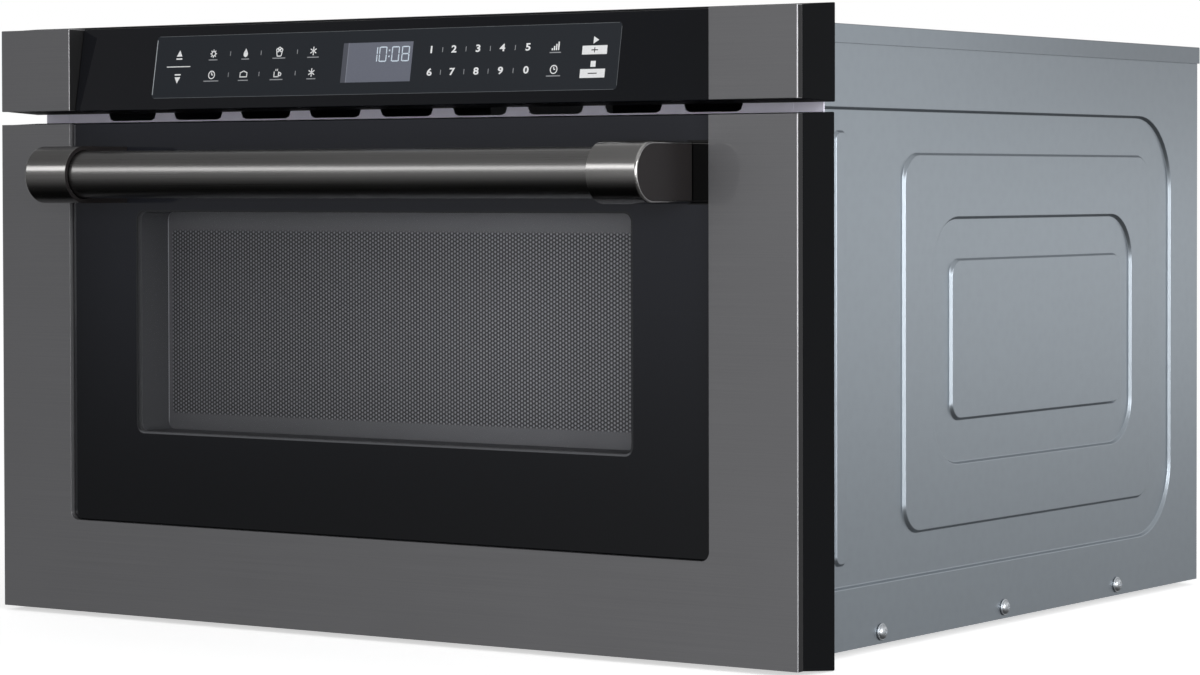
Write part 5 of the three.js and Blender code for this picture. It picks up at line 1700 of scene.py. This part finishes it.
# %% [markdown]
# ## Telescopic slides
# Each slide has three nested channels of zinc-plated steel. The measured sections are kept and
# only their bends are softened, and round holes are punched where the fitter's screws go.

# %% Slides
for side in ("left", "right"):
    for member, body in (
        ("outer_slide", "case"),
        ("middle_slide", side + "_slide_member"),
        ("inner_slide", "drawer"),
    ):
        node = f"{member}_{side}"
        low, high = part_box(node)
        slide = fine_copy(node, 0.35 * mm)
        for share in (0.12, 0.5, 0.88):
            at = (low.y + share * (high.y - low.y), (low.z + high.z) / 2)
            bore(slide, "X", 2.4 * mm, low.x, high.x, at)
        smooth(slide)
        place(dress(slide, slide_zinc), body, "bright_zinc", node)
print("slides made")

# %% [markdown]
# ## Fan and stirrer
# The moulded fan and the stamped stirrer keep their measured blades. The fan's edges are
# rounded more, as on a moulding, and the stirrer's less, as on a stamping.

# %% Fan and stirrer
turning = {
    "fan_blade": ("fan", 0.5, grey_plastic, "grey_moulding"),
    "stirrer_blade": ("stirrer", 0.15, bright_zinc, "bright_zinc"),
}
place_copies(turning)

# %% [markdown]
# ## Finishes of the measured nodes that stay
# What is left has the right shape as it is, and gets the finish of the real part.

# %% Finishes of the nodes that stay
stays = {
    "base_pan": case_sheet,
    "rear_panel": case_sheet,
    "oven_cavity": cavity_steel,
    "waveguide": inner_sheet,
    "magnetron": magnet_steel,
    "filter_board": board_look,
    "control_board": board_look,
    "display_module": display_look,
    "window_screen": screen_look,
}
for node, look in stays.items():
    dress(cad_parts[node], look)
colour_components("filter_board", 2)
colour_components("control_board", 1)
shown = [n for n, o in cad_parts.items() if not o.hide_render]
print("nodes that stay:", sorted(shown))

# %% [markdown]
# ## Floor and light
# The object stands on a plain white floor against white. The floor's own shade keeps the soft
# shadow, and for the camera alone a little light is added so that the open floor reads as the
# white background. Polished things mirror the room more than the lamps, and in the photograph
# the room is dim in front and dark below, so that is what shiny rays find here: it makes the
# glass black and the handle's underside dark. Soft panels add the highlights: one at the left
# front lights the handle alone, and three at the right light the side panel and the edges of
# its pressed steps.

# %% Floor


def floor_finish():
    finish = Finish("studio_floor")
    distance = (finish.x * finish.x + finish.y * finish.y).root()
    near = distance.ramp(1.3, 0.6)
    lit = finish.surface(
        base_color=(0.8, 0.8, 0.8),
        roughness=0.9,
        specular_ior_level=0.1,
        emission_color=(1.0, 1.0, 1.0),
        emission_strength=finish.ray("Is Camera Ray") * 0.6,
    )
    plain = finish.node("ShaderNodeEmission", None, {"Color": (1.0, 1.0, 1.0), "Strength": 1.0})
    blend = finish.node("ShaderNodeMixShader", None, {0: near, 1: plain.outputs[0], 2: lit})
    return finish.close(blend.outputs[0])


clear_selection()
lowest = cad_box[0][2]
bpy.ops.mesh.primitive_plane_add(size=60, location=(0, 0, lowest - 0.2 * mm))
floor_plane = name_piece("studio_floor")
floor_plane.data.materials.append(floor_finish())
floor_plane.visible_glossy = False

# %% Surroundings
world = bpy.data.worlds.new("studio")
bpy.context.scene.world = world
room = Graph(world, "ShaderNodeOutputWorld", "Generated")

# Its dim part is in front and to the left, darker towards the floor and the far left
front_glow = room.x.ramp(-0.74, -0.44, 0.7, 1.5)
below = room.z.ramp(-0.85, 0.0) ** 1.6
front = below * 0.285 * front_glow + room.z.ramp(0.1, 0.5, 0.0, -0.07)
dim = room.x.ramp(-0.4, -0.1, 1.0, 0.0) * room.y.ramp(0.3, 0.6, 1.0, 0.0)

# The rest is brighter, most of all above, and at the left rear
bright = room.z.ramp(-0.5, -0.15, 0.08, 0.44) + room.z.ramp(0.5, 0.8, 0.0, 0.3)
bright = bright + room.x.ramp(-0.1, -0.4) * room.y.ramp(0.1, 0.4) * 0.25
walls = dim * front + (1 - dim) * bright

# The camera sees white, shiny rays find those walls, and the rest is an even half light
seen = room.ray("Is Camera Ray")
shiny = room.ray("Is Glossy Ray")
level = seen + (1 - seen) * (shiny * walls + (1 - shiny) * 0.5)
sky = room.node("ShaderNodeBackground", None, {"Color": (1.0, 1.0, 1.0), "Strength": level})
room.feed(room.output.inputs["Surface"], sky.outputs[0])

# %% Lamps


def lamp(name, place_at, aim, size, brightness):
    """A soft panel; its power follows from how bright its face is."""
    light = bpy.data.lights.new(name, "AREA")
    light.shape = "RECTANGLE"
    light.size, light.size_y = size
    light.energy = brightness * math.pi * size[0] * size[1]
    piece = bpy.data.objects.new(name, light)
    bpy.context.scene.collection.objects.link(piece)
    piece.location = place_at
    piece.rotation_euler = (Vector(aim) - Vector(place_at)).to_track_quat("-Z", "Y").to_euler()
    return piece


handle_lamp = lamp("soft_handle", (-1.08, -2.03, 0.93), (0, -0.34, 0.28), (1.6, 0.45), 2.6)
lit_by_it = bpy.data.collections.new("lit_by_soft_handle")
for piece in (handle, *brackets, *end_plates):
    lit_by_it.objects.link(piece)
handle_lamp.light_linking.receiver_collection = lit_by_it
side_middle = (0.28, 0, 0.2)
lamp("soft_right_rear", (1.45, 1.2, 0.42), (0.28, -0.05, 0.2), (1.9, 0.84), 0.58)
lamp("soft_right_front", (2.5, -0.9, 0.62), side_middle, (1.2, 1.15), 7.5)
lamp("soft_behind_camera", (1.8, -3.05, 0.62), side_middle, (1.4, 1.15), 6.3)

# %% [markdown]
# ## Camera
# The photograph was taken with a long lens from the front right, almost level. The place, the
# turn and the lens come from the vanishing points of the case, and a small downward shift keeps
# the uprights parallel, as in the photograph.

# %% Camera
lens = bpy.data.cameras.new("camera")
lens.lens = 110.57
lens.sensor_width = 36
lens.shift_y = -0.06
lens.clip_start = 0.05
camera = bpy.data.objects.new("camera", lens)
bpy.context.scene.collection.objects.link(camera)
camera_place = (1.3665, -2.0442, 0.2707)
heading, downwards, roll = math.radians(34.485), math.radians(1.261), math.radians(-0.121)
turn = (
    Matrix.Rotation(heading, 4, "Z")
    @ Matrix.Rotation(math.pi / 2 - downwards, 4, "X")
    @ Matrix.Rotation(roll, 4, "Z")
)
camera.matrix_world = Matrix.Translation(camera_place) @ turn
bpy.context.scene.camera = camera
bpy.context.scene.view_settings.view_transform = "Standard"
print("camera set")

# %% Sizes and the closing call
clear_selection()
print("cad box:", cad_box)
